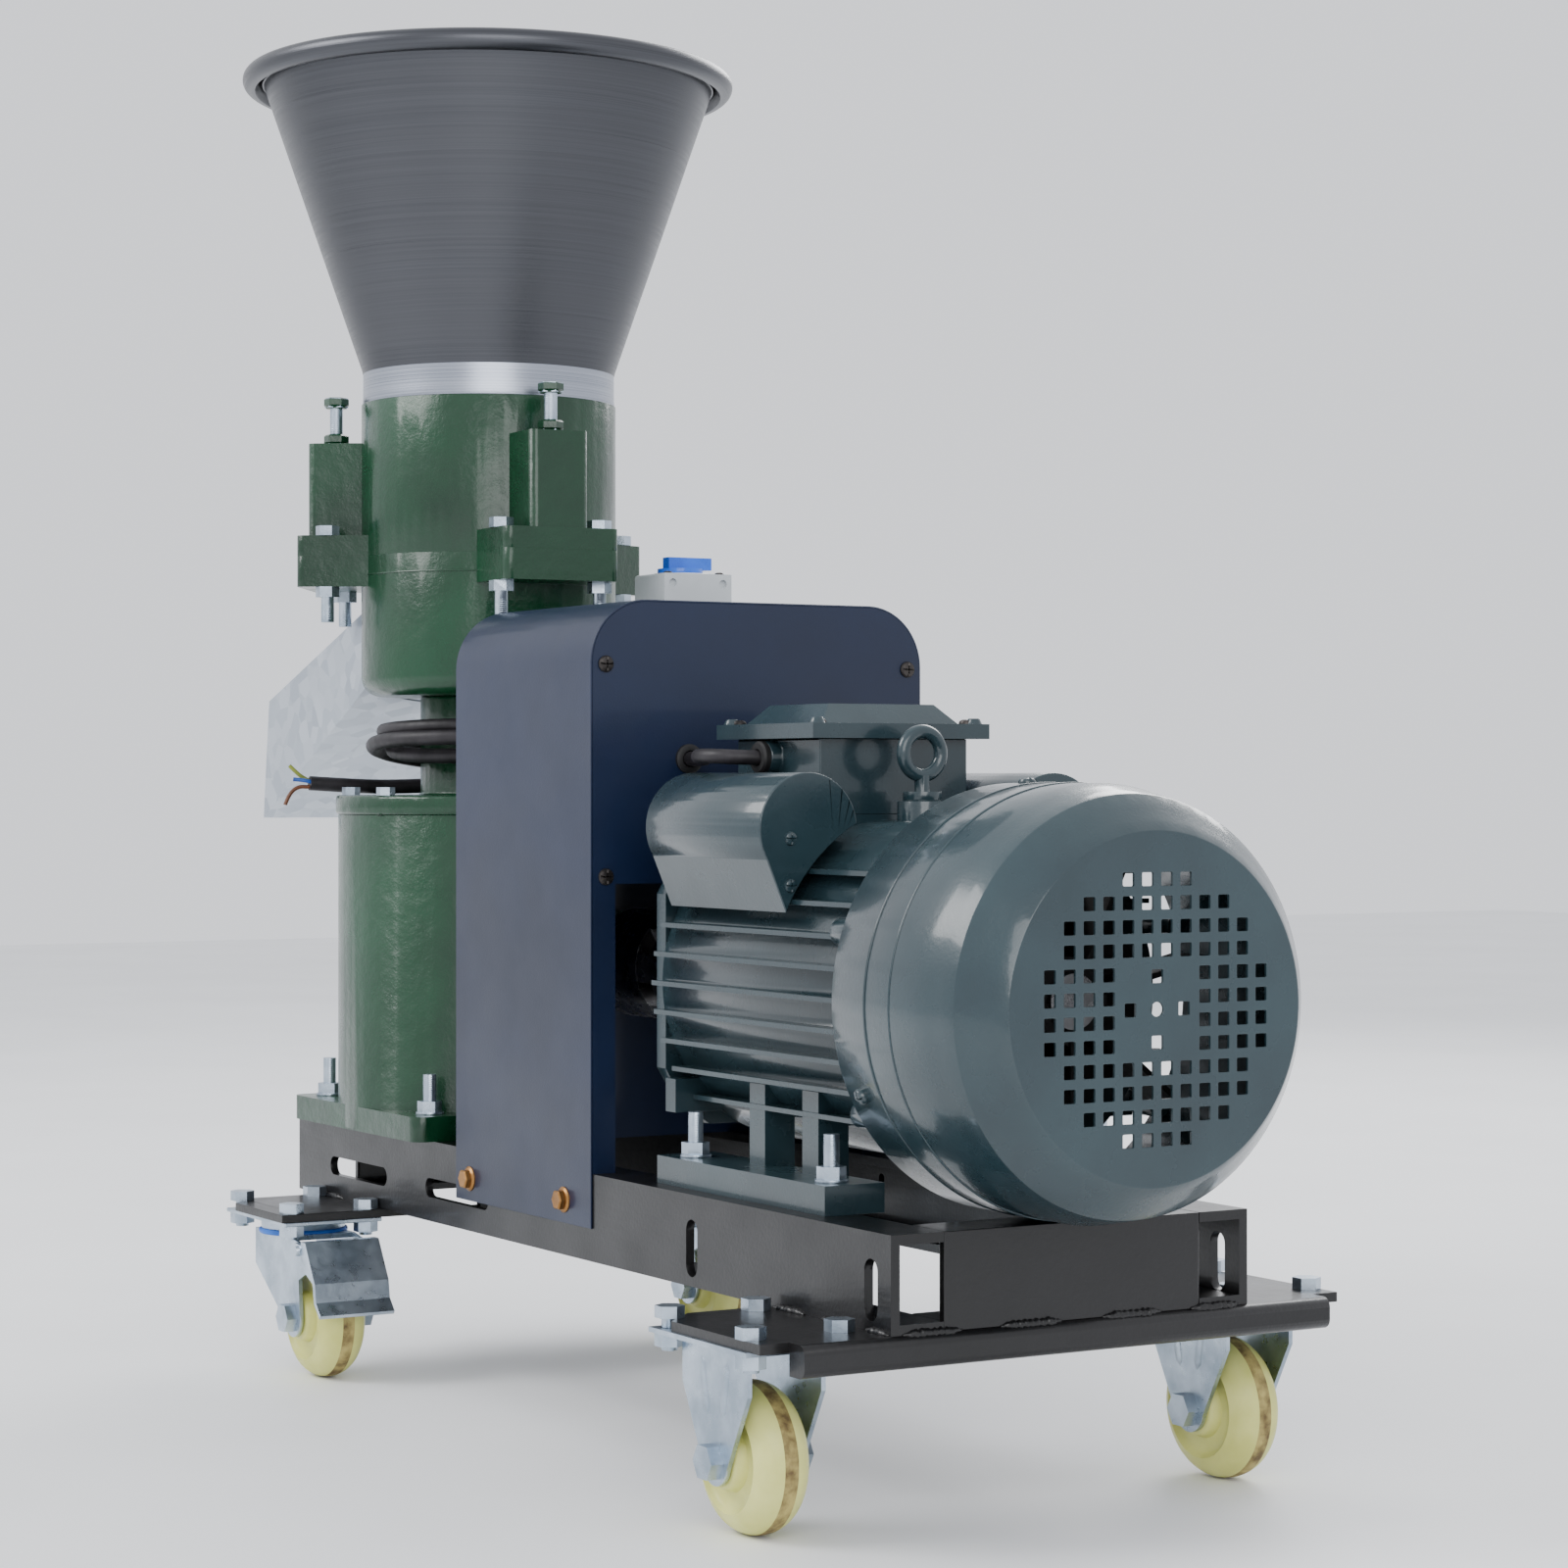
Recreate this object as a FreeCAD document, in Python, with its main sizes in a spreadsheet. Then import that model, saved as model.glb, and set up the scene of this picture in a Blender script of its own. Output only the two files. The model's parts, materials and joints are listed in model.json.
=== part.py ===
# Flat-die feed pellet mill on a wheeled steel base, as a parametric FreeCAD document.
# Millimetres, +Z up. Everything is drawn about the centre of the base frame on the floor, and
# each finished sub-part is then moved so that the origin is the bottom centre of the whole box.
import FreeCAD, Part
import math
import os
import re

import Sketcher

SIZES = {
    # base frame: two channel rails joined by cross channels
    "frame_half_length": 360, "frame_half_width": 106, "rail_bottom": 102, "rail_height": 48,
    "rail_flange": 30, "steel_wall": 5, "slot_length": 87, "slot_width": 11.5, "slot_rise": 20,
    "slot_left_x": -265.5, "slot_middle_x": -122, "upright_length": 30, "upright_width": 12,
    "upright_left_x": 165, "upright_right_x": 342, "cross_left_x": -339, "cross_middle_x": -183,
    # caster carriers
    "carrier_half_width": 172, "carrier_inner": 78, "carrier_wall": 5, "carrier_corner": 20,
    "beam_inset": 10, "beam_depth": 14, "beam_height": 16, "beam_half_width": 156, "beam_round": 5,
    # casters
    "wheel_radius": 37.5, "wheel_width": 32, "wheel_round": 9, "wheel_rim": 10, "wheel_dish": 5,
    "hub_width": 36, "wheel_hub": 14, "axle_radius": 5, "axle_across": 16, "axle_head": 7,
    "rigid_x": 292, "rigid_y": 142, "swivel_x": -277, "swivel_y": 138, "swivel_trail": 34,
    "caster_length": 96, "caster_width": 64, "caster_wall": 2.5, "caster_hole_x": 40,
    "caster_hole_y": 24.5, "fork_wall": 2.5, "fork_gap": 1.2, "fork_half": 32, "fork_foot": 12,
    "race_radius": 26, "race_drop": 8, "kingpin_radius": 6, "pedal_half": 22, "pedal_wall": 2.5,
    "pedal_pin": 3, "pedal_pin_x": 16, "pedal_pin_z": 42.5,
    # fasteners and clearances
    "bolt_radius": 4, "bolt_head": 6, "bolt_across": 13, "nut_height": 6.5, "thread_end": 2,
    "screw_radius": 3, "screw_head": 5, "screw_across": 10, "running_gap": 0.06, "air_gap": 0.5,
    "seat_gap": 0.3, "stud_depth": 10, "stud_reach": 24, "washer_radius": 8.5, "washer_height": 1.5,
    # gear case
    "mill_x": -246, "mill_y": -25, "base_half": 94, "base_height": 15, "base_corner": 8,
    "stud_offset": 76, "case_radius": 94.5, "case_wall": 8, "case_height": 195, "cover_radius": 96,
    "cover_height": 12, "cover_bolt_inset": 4.3, "cover_bolt_start": -10, "neck_radius": 43,
    "neck_height": 62, "bearing_radius": 36, "bearing_width": 17, "bearing_lip": 8,
    "nose_radius": 37, "nose_reach": 118, "pinion_bearing_radius": 26, "pinion_bearing_width": 15,
    # pellet chamber
    "pot_radius": 80, "pot_wall": 7, "pot_floor": 10, "pot_edge": 12, "pot_height": 87,
    "ring_height": 96, "ring_wall": 8, "lug_angle": -3, "lug_reach": 116, "lug_width": 75,
    "lug_below": 19, "lug_above": 13, "lug_corner": 5, "tower_reach": 112, "tower_width": 38,
    "tower_height": 72, "tower_roof": 14, "lug_bolt_reach": 97, "lug_bolt_half": 32.5,
    "mouth_half": 45, "mouth_low": 15, "mouth_high": 59,
    # hopper
    "hopper_radius": 141, "band_radius": 79, "band_height": 20, "cone_height": 181,
    "hopper_wall": 1.5, "spigot_depth": 12, "bead_radius": 6.5, "bead_centre": 147.5,
    # die, rollers and drive
    "shaft_radius": 17.5, "die_radius": 71.5, "die_height": 22, "die_hole": 3, "die_bore": 15,
    "roller_radius": 26, "roller_inner": 30, "roller_width": 30, "roller_gap": 0.4,
    "roller_flutes": 20, "flute_radius": 1.6, "arm_radius": 10, "arm_hub": 17, "arm_block": 9,
    "throw_radius": 68, "throw_wall": 4, "throw_rise": 8, "paddle_height": 14, "hub_flange": 26,
    "gear_radius": 80, "gear_height": 14, "gear_bore": 22, "gear_teeth": 37, "gear_offset": 25,
    "tooth_height": 3.4, "tooth_width": 2.6, "tooth_inner": 58, "tooth_outer": 75,
    "pinion_teeth": 8, "pinion_radius": 17, "pinion_root": 12.5, "input_radius": 12.4,
    "hub_radius": 32, "hub_length": 56, "jaw_length": 16, "jaw_half": 8.5, "jaw_inner": 20,
    # motor
    "axis_height": 107.5, "motor_low_x": 100, "motor_length": 205, "shell_radius": 88,
    "fin_reach": 98, "fin_wall": 2.6, "fin_pitch": 15.5, "fan_cover_radius": 107,
    "fan_cover_low": 307, "fan_cover_length": 121, "fan_face_radius": 84.5, "cover_wall": 1.6,
    "vent_pitch": 11.2, "vent_size": 6.5, "foot_half": 95, "foot_x": 194, "foot_half_length": 87,
    "foot_height": 15, "foot_bolt_half": 70, "foot_bolt_y": 82, "stator_radius": 84,
    "stator_half_length": 67, "rotor_radius": 49.5, "motor_shaft": 14, "shield_radius": 98,
    "shield_half": 78, "shield_side": 86, "shield_depth": 10, "box_x": 151.5, "box_half_x": 43.5,
    "box_half": 46, "box_rise": 90.5, "box_height": 40, "box_wall": 4, "lid_half": 55,
    "lid_height": 8, "lid_crown": 11, "capacitor_radius": 29, "capacitor_low_x": 112,
    "capacitor_length": 122, "capacitor_y": 76, "capacitor_rise": 83.5, "eye_x": 222,
    "eye_rise": 122.5, "eye_ring": 11.5, "eye_wire": 3.6, "eye_seat": 97.5,
    # guard
    "guard_low_x": -120, "guard_length": 173, "guard_rise": 316, "guard_skirt": 30,
    "guard_corner": 35, "guard_wall": 1.2, "guard_cut": 51.5, "guard_strip": 14,
    "guard_screw_left": -101, "guard_screw_right": 20.5, "guard_screw_drop": 17,
    "guard_window": 30, "tin_screw": 1.9, "tin_screw_inset": 8,
    # discharge chute, measured from the pot's floor and from the seam of the chamber
    "chute_half": 57, "chute_wall": 1.2, "chute_back_x": -300, "chute_knee_x": -470,
    "chute_lip_x": -480, "chute_floor_x": -328, "chute_top": 28, "chute_knee": 86,
    "chute_lip": 165, "chute_floor": 90, "chute_heel": 76,
    # switch box and cords
    "switch_depth": 39, "switch_low_y": 33, "switch_width": 47, "switch_drop": 73,
    "switch_height": 100, "switch_wall": 3, "switch_lid": 12, "knob_radius": 14, "knob_y": 57,
    "knob_stem": 4, "knob_back": 24, "gland_radius": 8, "gland_length": 5, "supply_y": 50,
    "supply_inset": 14, "lead_y": 50, "lead_drop": 36, "lead_gland_rise": 120.5,
    "lead_gland_x": 148,
    "cord_radius": 4.7, "lead_radius": 4, "core_radius": 1.3, "coil_inner": 46,
    "coil_outer": 83.5, "coil_height": 45,
}

doc = FreeCAD.newDocument("pellet_mill")
dims = doc.addObject("Spreadsheet::Sheet", "dims")
for row, (alias, number) in enumerate(SIZES.items(), 1):
    dims.set(f"A{row}", alias)
    dims.set(f"B{row}", str(number))
    dims.setAlias(f"B{row}", alias)
doc.recompute()

# Levels and stations that several pieces share, as formulas of the sheet.
DECK = "(rail_bottom + rail_height)"
CARRIER_LOW = "(rail_bottom - carrier_wall)"
CASTER_LOW = f"({CARRIER_LOW} - caster_wall)"
CROWN = f"({CASTER_LOW} - race_drop)"
AXIS = f"({DECK} + axis_height)"
BASE_TOP = f"({DECK} + base_height)"
CASE_TOP = f"({DECK} + case_height)"
COVER_TOP = f"({CASE_TOP} + cover_height)"
NECK_TOP = f"({COVER_TOP} + neck_height)"
POT_FLOOR = f"({NECK_TOP} + pot_floor)"
SEAM = f"({NECK_TOP} + pot_height)"
DIE_LOW = f"({SEAM} - die_height)"
ROLLER_Z = f"({SEAM} + roller_gap + roller_radius)"
RING_TOP = f"({SEAM} + ring_height)"
TOWER_TOP = f"({SEAM} + tower_height)"
CONE_LOW = f"({RING_TOP} + band_height)"
CONE_TOP = f"({CONE_LOW} + cone_height)"
GEAR_FACE = f"({AXIS} - pinion_radius - 1)"
GEAR_LOW = f"({GEAR_FACE} - gear_height)"
MOTOR_HIGH = "(motor_low_x + motor_length)"
NOSE_END = "(mill_x + nose_reach)"
HUB_END = f"({NOSE_END} + 36 + hub_length)"
GUARD_TOP = f"({DECK} + guard_rise)"
GUARD_HIGH = "(guard_low_x + guard_length)"
BOX_FLOOR = f"({AXIS} + box_rise)"
BOX_TOP = f"({BOX_FLOOR} + box_height)"
SWITCH_HIGH = "(guard_low_x - seat_gap)"
SWITCH_LOW = f"({SWITCH_HIGH} - switch_depth)"
SWITCH_FLOOR = f"({GUARD_TOP} - switch_drop)"
SWITCH_TOP = f"({SWITCH_FLOOR} + switch_height)"
MILL = ("mill_x", "mill_y", "0")
ROW_X = "-(chute_lip_x + fan_cover_low + fan_cover_length) / 2"
ROW_Y = "-(mill_y - bead_centre - bead_radius + carrier_half_width) / 2"
LUGS = (0, 120, 240)
SIDES = (("near", -1), ("far", 1))
NODES = []


def link(text):
    """Turns the plain size names in a formula into references to the sheet."""
    return re.sub(r"[a-z][a-z_0-9]*", lambda w: "dims." + w[0] if w[0] in SIZES else w[0], str(text))


def size(text):
    """The number that a formula gives now."""
    found = dims.evalExpression(link(text))
    return float(getattr(found, "Value", found))


def bind(piece, prop, text):
    piece.setExpression(prop, link(text))


def move(piece, x="0", y="0", z="0", turn=None, angle=0):
    """Places a piece: the turn is fixed and the three distances stay bound to the sheet."""
    if turn:
        spin = FreeCAD.Rotation(FreeCAD.Vector(*turn), angle)
        piece.Placement = FreeCAD.Placement(FreeCAD.Vector(), spin)
    for letter, text in zip("xyz", (x, y, z)):
        bind(piece, f"Placement.Base.{letter}", text)
    return piece


def spun(pieces, angle):
    """A group of pieces turned about the origin's upright axis."""
    return move(group(*pieces), turn=(0, 0, 1), angle=angle)


def block(x, y, z):
    """A box given by its low and high formula along each axis."""
    piece = doc.addObject("Part::Box", "block")
    for side, letter, (low, high) in zip(("Length", "Width", "Height"), "xyz", (x, y, z)):
        bind(piece, side, f"({high}) - ({low})")
        bind(piece, f"Placement.Base.{letter}", low)
    return piece


TURNS = {"x": ((0, 1, 0), 90), "y": ((1, 0, 0), -90), "z": ((0, 0, 1), 0)}


def along(piece, axis, low, u, v):
    """Lays a piece drawn up Z along an axis, from low, at the two other coordinates u and v."""
    place = {"x": (low, u, v), "y": (u, low, v), "z": (u, v, low)}[axis]
    return move(piece, *place, *TURNS[axis])


def rod(axis, radius, low, high, u="0", v="0"):
    piece = doc.addObject("Part::Cylinder", "rod")
    bind(piece, "Radius", radius)
    bind(piece, "Height", f"({high}) - ({low})")
    return along(piece, axis, low, u, v)


def cone(axis, radius_low, radius_high, low, high, u="0", v="0"):
    piece = doc.addObject("Part::Cone", "cone")
    bind(piece, "Radius1", radius_low)
    bind(piece, "Radius2", radius_high)
    bind(piece, "Height", f"({high}) - ({low})")
    return along(piece, axis, low, u, v)


def hexagon(axis, across, low, high, u="0", v="0"):
    piece = doc.addObject("Part::Prism", "hexagon")
    piece.Polygon = 6
    bind(piece, "Circumradius", f"({across}) / sqrt(3)")
    bind(piece, "Height", f"({high}) - ({low})")
    return along(piece, axis, low, u, v)


def fuse(*pieces):
    piece = doc.addObject("Part::MultiFuse", "join")
    piece.Shapes = list(pieces)
    piece.Refine = True
    return piece


def cut(base, *tools):
    piece = doc.addObject("Part::Cut", "cut")
    piece.Base = base
    piece.Tool = tools[0] if len(tools) == 1 else fuse(*tools)
    piece.Refine = True
    return piece


def common(base, tool):
    piece = doc.addObject("Part::Common", "common")
    piece.Base = base
    piece.Tool = tool
    return piece


def group(*pieces):
    piece = doc.addObject("Part::Compound", "group")
    piece.Links = list(pieces)
    return piece


def tube(axis, outer, inner, low, high, u="0", v="0"):
    bore = rod(axis, inner, f"{low} - 1", f"{high} + 1", u, v)
    return cut(rod(axis, outer, low, high, u, v), bore)


def slot(length, width, low, high, x, z, upright=False):
    """A round-ended cutter through Y, centred at x and z."""
    half = f"(({length}) - ({width})) / 2"
    if upright:
        ends = [(x, f"{z} - {half}"), (x, f"{z} + {half}")]
        flat = block((f"{x} - {width} / 2", f"{x} + {width} / 2"), (low, high), (ends[0][1], ends[1][1]))
    else:
        ends = [(f"{x} - {half}", z), (f"{x} + {half}", z)]
        flat = block((ends[0][0], ends[1][0]), (low, high), (f"{z} - {width} / 2", f"{z} + {width} / 2"))
    return fuse(flat, *[rod("y", f"{width} / 2", low, high, *end) for end in ends])


def plane(body, role):
    return next(item for item in body.Origin.OriginFeatures if item.Role == role)


def outline(body, role, points):
    """A closed sketch through points given as formula pairs, each held to the origin."""
    sketch = body.newObject("Sketcher::SketchObject", "outline")
    sketch.AttachmentSupport = [(plane(body, role), "")]
    sketch.MapMode = "FlatFace"
    corners = [FreeCAD.Vector(size(u), size(v), 0) for u, v in points]
    count = len(corners)
    lines = [Part.LineSegment(corners[i], corners[(i + 1) % count]) for i in range(count)]
    sketch.addGeometry(lines, False)
    for i, (u, v) in enumerate(points):
        sketch.addConstraint(Sketcher.Constraint("Coincident", i, 2, (i + 1) % count, 1))
        for kind, text, number in (("DistanceX", u, corners[i].x), ("DistanceY", v, corners[i].y)):
            held = sketch.addConstraint(Sketcher.Constraint(kind, -1, 1, i, 1, number))
            sketch.setExpression(f"Constraints[{held}]", link(text))
    return sketch


def turned(points):
    """A body turned about Z from radius and height formulas."""
    body = doc.addObject("PartDesign::Body", "turned")
    sketch = outline(body, "XZ_Plane", points)
    feature = body.newObject("PartDesign::Revolution", "turn")
    feature.Profile = sketch
    feature.ReferenceAxis = (sketch, ["V_Axis"])
    feature.Angle = 360
    return body


def padded(role, points, low, high):
    """A body padded from an outline on one origin plane, from low to high along its third axis."""
    body = doc.addObject("PartDesign::Body", "padded")
    feature = body.newObject("PartDesign::Pad", "pad")
    feature.Profile = outline(body, role, points)
    feature.Reversed = role == "XZ_Plane"
    bind(feature, "Length", f"({high}) - ({low})")
    letter = {"XY_Plane": "z", "XZ_Plane": "y", "YZ_Plane": "x"}[role]
    bind(body, f"Placement.Base.{letter}", low)
    return body


def soften(body, radius, test):
    """Rounds the edges of a body's last feature that pass a test on their bounding box."""
    doc.recompute()
    last = body.Tip
    names = [f"Edge{i}" for i, edge in enumerate(last.Shape.Edges, 1) if test(edge.BoundBox)]
    feature = body.newObject("PartDesign::Fillet", "soft_edge")
    feature.Base = (last, names)
    bind(feature, "Radius", radius)
    return body


def node(label, piece, place=("0", "0", "0"), turn=(0, 0, 1), angle=0):
    """Names a finished sub-part and moves it into the row's frame."""
    piece.Label = label
    move(piece, f"{ROW_X} + ({place[0]})", f"{ROW_Y} + ({place[1]})", place[2], turn, angle)
    NODES.append(piece)


def bolt(axis, radius, across, head_low, head_high, tip, u, v):
    """A hexagon head and its shank, which runs from the head to the tip on either side."""
    span = (tip, head_low) if size(tip) < size(head_low) else (head_high, tip)
    return fuse(hexagon(axis, across, head_low, head_high, u, v), rod(axis, radius, *span, u, v))


def nut(axis, radius, across, low, high, u, v):
    thread = rod(axis, f"{radius} + running_gap", f"{low} - 1", f"{high} + 1", u, v)
    return cut(hexagon(axis, across, low, high, u, v), thread)


def side_span(side, near, far):
    """Low and high formulas for a stretch between two distances from the middle plane."""
    return (near, far) if side > 0 else (f"-({far})", f"-({near})")


def ring(radius, count, start=0):
    """Places evenly spread on a circle about the origin."""
    angles = [start + i * 360 / count for i in range(count)]
    return [(f"({radius}) * cos({a})", f"({radius}) * sin({a})") for a in angles]


def corners(x, y, half_x, half_y):
    """The four places at half_x and half_y from a centre."""
    return [(f"{x} + {i} * {half_x}", f"{y} + {j} * {half_y}") for i in (-1, 1) for j in (-1, 1)]


# ---- base frame -------------------------------------------------------------------------------
FOOT_BOLTS = corners("foot_x + 2", "0", "foot_bolt_half", "foot_bolt_y")
CASE_STUDS = corners("mill_x", "mill_y", "stud_offset", "stud_offset")


def tapped_holes():
    """Cutters for the studs of the gear case and the motor feet, in the frame's top flanges."""
    depth = f"{DECK} - stud_depth"
    return [rod("z", "bolt_radius + running_gap", depth, f"{DECK} + 1", x, y)
            for x, y in FOOT_BOLTS + CASE_STUDS]


def channel_flanges(x, y):
    """The lower and upper flange of a channel that stands at deck height."""
    return [block(x, y, ("rail_bottom", "rail_bottom + steel_wall")),
            block(x, y, (f"{DECK} - steel_wall", DECK))]


def rail(name, side):
    length = ("-frame_half_length", "frame_half_length")
    web = side_span(side, "frame_half_width - steel_wall", "frame_half_width")
    flange = side_span(side, "frame_half_width - rail_flange", "frame_half_width")
    channel = fuse(block(length, web, ("rail_bottom", DECK)), *channel_flanges(length, flange))
    through = side_span(side, "frame_half_width - steel_wall - 1", "frame_half_width + 1")
    middle = "rail_bottom + slot_rise"
    slots = [slot("slot_length", "slot_width", *through, x, middle) for x in ("slot_left_x", "slot_middle_x")]
    slots += [slot("upright_length", "upright_width", *through, x, middle, True)
              for x in ("upright_left_x", "upright_right_x")]
    screws = [rod("y", "screw_radius + running_gap", *through, x, f"{DECK} - guard_screw_drop")
              for x in ("guard_screw_left", "guard_screw_right")]
    node(f"{name}_rail", cut(channel, *slots, *screws, *tapped_holes()))


def cross_channels():
    """Three short channels between the rails' flange tips; each web faces one end."""
    inner = ("-(frame_half_width - rail_flange)", "frame_half_width - rail_flange")
    starts = (("frame_half_length - rail_flange", False), ("cross_left_x", True), ("cross_middle_x", False))
    pieces = []
    for start, web_first in starts:
        end = f"{start} + rail_flange"
        web = (start, f"{start} + steel_wall") if web_first else (f"{end} - steel_wall", end)
        flanges = channel_flanges((start, end), inner)
        pieces.append(cut(fuse(block(web, inner, ("rail_bottom", DECK)), *flanges), *tapped_holes()))
    node("frame_cross_channels", group(*pieces))


def carrier_plate(x_low, x_high, side, centre):
    """A flat plate under one rail, with its far outboard corner cut off."""
    inner, outer = f"{side} * carrier_inner", f"{side} * carrier_half_width"
    shoulder = f"{side} * (carrier_half_width - carrier_corner)"
    points = [(x_low, inner), (x_high, inner), (x_high, outer), (f"{x_low} + carrier_corner", outer),
              (x_low, shoulder)]
    plate = padded("XY_Plane", points, CARRIER_LOW, "rail_bottom")
    return cut(plate, *caster_holes(centre, CARRIER_LOW, "rail_bottom"))


def caster_holes(centre, low, high):
    return [rod("z", "bolt_radius + air_gap", f"{low} - 1", f"{high} + 1", x, y)
            for x, y in corners(*centre, "caster_hole_x", "caster_hole_y")]


def caster_carriers():
    end = "(frame_half_length - beam_inset)"
    start = "rigid_x - caster_length / 2"
    plates = [carrier_plate(start, end, side, ("rigid_x", f"{side} * rigid_y")) for _, side in SIDES]
    beam = block((end, f"{end} + beam_depth"), ("-beam_half_width", "beam_half_width"),
                 ("rail_bottom - beam_height", "rail_bottom"))
    doc.recompute()
    rounded = doc.addObject("Part::Fillet", "beam")
    rounded.Base = beam
    middle, turn = size(f"{end} + 1"), size("beam_round")
    rounded.Edges = [(i, turn, turn) for i, edge in enumerate(beam.Shape.Edges, 1)
                     if edge.BoundBox.YLength > 1 and edge.BoundBox.XMin > middle]
    node("end_caster_carrier", fuse(*plates, rounded))
    for name, side in SIDES:
        centre = ("swivel_x", f"{side} * swivel_y")
        plate = carrier_plate("swivel_x - caster_length / 2", "swivel_x + caster_length / 2", side, centre)
        node(f"swivel_carrier_{name}", plate)


def caster_bolts():
    """Hexagon bolts down through carrier and caster plate, each with its nut."""
    nut_low = f"{CASTER_LOW} - nut_height"
    pieces = []
    for x, y in (("rigid_x", "rigid_y"), ("swivel_x", "swivel_y")):
        for _, side in SIDES:
            for spot in corners(x, f"{side} * {y}", "caster_hole_x", "caster_hole_y"):
                pieces.append(bolt("z", "bolt_radius", "bolt_across", "rail_bottom",
                                   "rail_bottom + bolt_head", f"{nut_low} - thread_end", *spot))
                pieces.append(nut("z", "bolt_radius", "bolt_across", nut_low, CASTER_LOW, *spot))
    node("caster_bolts", group(*pieces))


# ---- casters ----------------------------------------------------------------------------------
LEG_IN = "(hub_width / 2 + fork_gap)"
LEG_OUT = f"({LEG_IN} + fork_wall)"


def caster_plate(x, y):
    """The pressed top plate of one caster with its four holes."""
    plate = block((f"{x} - caster_length / 2", f"{x} + caster_length / 2"),
                  (f"{y} - caster_width / 2", f"{y} + caster_width / 2"), (CASTER_LOW, CARRIER_LOW))
    return cut(plate, *caster_holes((x, y), CASTER_LOW, CARRIER_LOW))


def leg(points, wheel_x, y, side):
    """One fork leg: a flat tapering plate with a round foot about the axle, and the axle's hole."""
    span = [f"{y} + {text}" for text in side_span(side, LEG_IN, LEG_OUT)]
    foot = rod("y", "fork_foot", *span, wheel_x, "wheel_radius")
    hole = rod("y", "axle_radius + running_gap", f"{span[0]} - 1", f"{span[1]} + 1", wheel_x, "wheel_radius")
    return cut(fuse(padded("XZ_Plane", points, *span), foot), hole)


def axle(x, y):
    """The axle bolt through both legs, head to the near side, lock nut to the far side."""
    head, tail = f"{y} - {LEG_OUT}", f"{y} + {LEG_OUT}"
    pin = fuse(hexagon("y", "axle_across", f"{head} - axle_head", head, x, "wheel_radius"),
               rod("y", "axle_radius", head, f"{tail} + axle_head + 1", x, "wheel_radius"))
    return [pin, nut("y", "axle_radius", "axle_across", tail, f"{tail} + axle_head", x, "wheel_radius")]


def rigid_caster(name, side):
    x, y = "rigid_x", f"{side} * rigid_y"
    waist, foot = "wheel_radius + 35", "wheel_radius - 4"
    points = [(f"{x} - fork_half", CASTER_LOW), (f"{x} + fork_half", CASTER_LOW), (f"{x} + fork_half", waist),
              (f"{x} + fork_foot - 1", foot), (f"{x} - fork_foot + 1", foot), (f"{x} - fork_half", waist)]
    legs = [leg(points, x, y, hand) for hand in (-1, 1)]
    node(f"rigid_fork_{name}", group(fuse(caster_plate(x, y), *legs), *axle(x, y)))


def swivel_caster(name, side):
    """The plate with its race, and the fork that swivels under it on a kingpin behind the axle."""
    x, y = "swivel_x", f"{side} * swivel_y"
    race = rod("z", "race_radius", f"{CROWN} + air_gap", CASTER_LOW, x, y)
    bore = rod("z", "kingpin_radius + running_gap", f"{CROWN} - 1", f"{CARRIER_LOW} + 1", x, y)
    node(f"swivel_top_{name}", cut(fuse(caster_plate(x, y), race), bore))
    axle_x = f"({x} + swivel_trail)"
    points = [(f"{x} - 25", CROWN), (f"{x} + 30", CROWN), (f"{axle_x} + 19", "wheel_radius + 45"),
              (f"{axle_x} + 23.5", "wheel_radius + 38"), (f"{axle_x} + 22", "wheel_radius + 29"),
              (f"{axle_x} + 10", "wheel_radius + 24"), (f"{axle_x} + fork_foot", "wheel_radius"),
              (f"{axle_x} - fork_foot + 1", "wheel_radius - 4"), (f"{x} - 25", "wheel_radius + 27")]
    legs = [leg(points, axle_x, y, hand) for hand in (-1, 1)]
    crown = block((f"{x} - 25", f"{x} + 30"), (f"{y} - {LEG_OUT}", f"{y} + {LEG_OUT}"), (f"{CROWN} - 3", CROWN))
    kingpin = rod("z", "kingpin_radius", f"{CROWN} - 3", CARRIER_LOW, x, y)
    pivot = (f"{axle_x} + pedal_pin_x", "wheel_radius + pedal_pin_z")
    pin = rod("y", "pedal_pin", f"{y} - {LEG_OUT} - 5", f"{y} + {LEG_OUT} + 5", *pivot)
    node(f"swivel_fork_{name}", group(fuse(crown, kingpin, pin, *legs), *axle(axle_x, y)))
    brake_pedal(name, axle_x, y, pivot)


def brake_pedal(name, axle_x, y, pivot):
    """A pressed foot pedal on a cross pin: a sloping face with a curled lip and two cheeks."""
    rising = [(20, 48.5), (26, 48.5), (41, 25), (43, 14), (50, 7), (49, 5), (40.5, 13), (38.5, 24), (24, 46), (20, 46)]
    face = [(f"{axle_x} + {u}", f"wheel_radius + {v}") for u, v in rising]
    plate = padded("XZ_Plane", face, f"{y} - pedal_half - pedal_wall", f"{y} + pedal_half + pedal_wall")
    cheek = [(f"{axle_x} + {u}", f"wheel_radius + {v}") for u, v in ((11, 37), (38, 25), (25, 46), (11, 47))]
    cheeks = []
    for hand in (-1, 1):
        span = [f"{y} + {text}" for text in side_span(hand, "pedal_half + air_gap", "pedal_half + pedal_wall")]
        hole = rod("y", "pedal_pin + running_gap", f"{span[0]} - 1", f"{span[1]} + 1", *pivot)
        cheeks.append(cut(padded("XZ_Plane", cheek, *span), hole))
    node(f"brake_pedal_{name}", fuse(plate, *cheeks))


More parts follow.
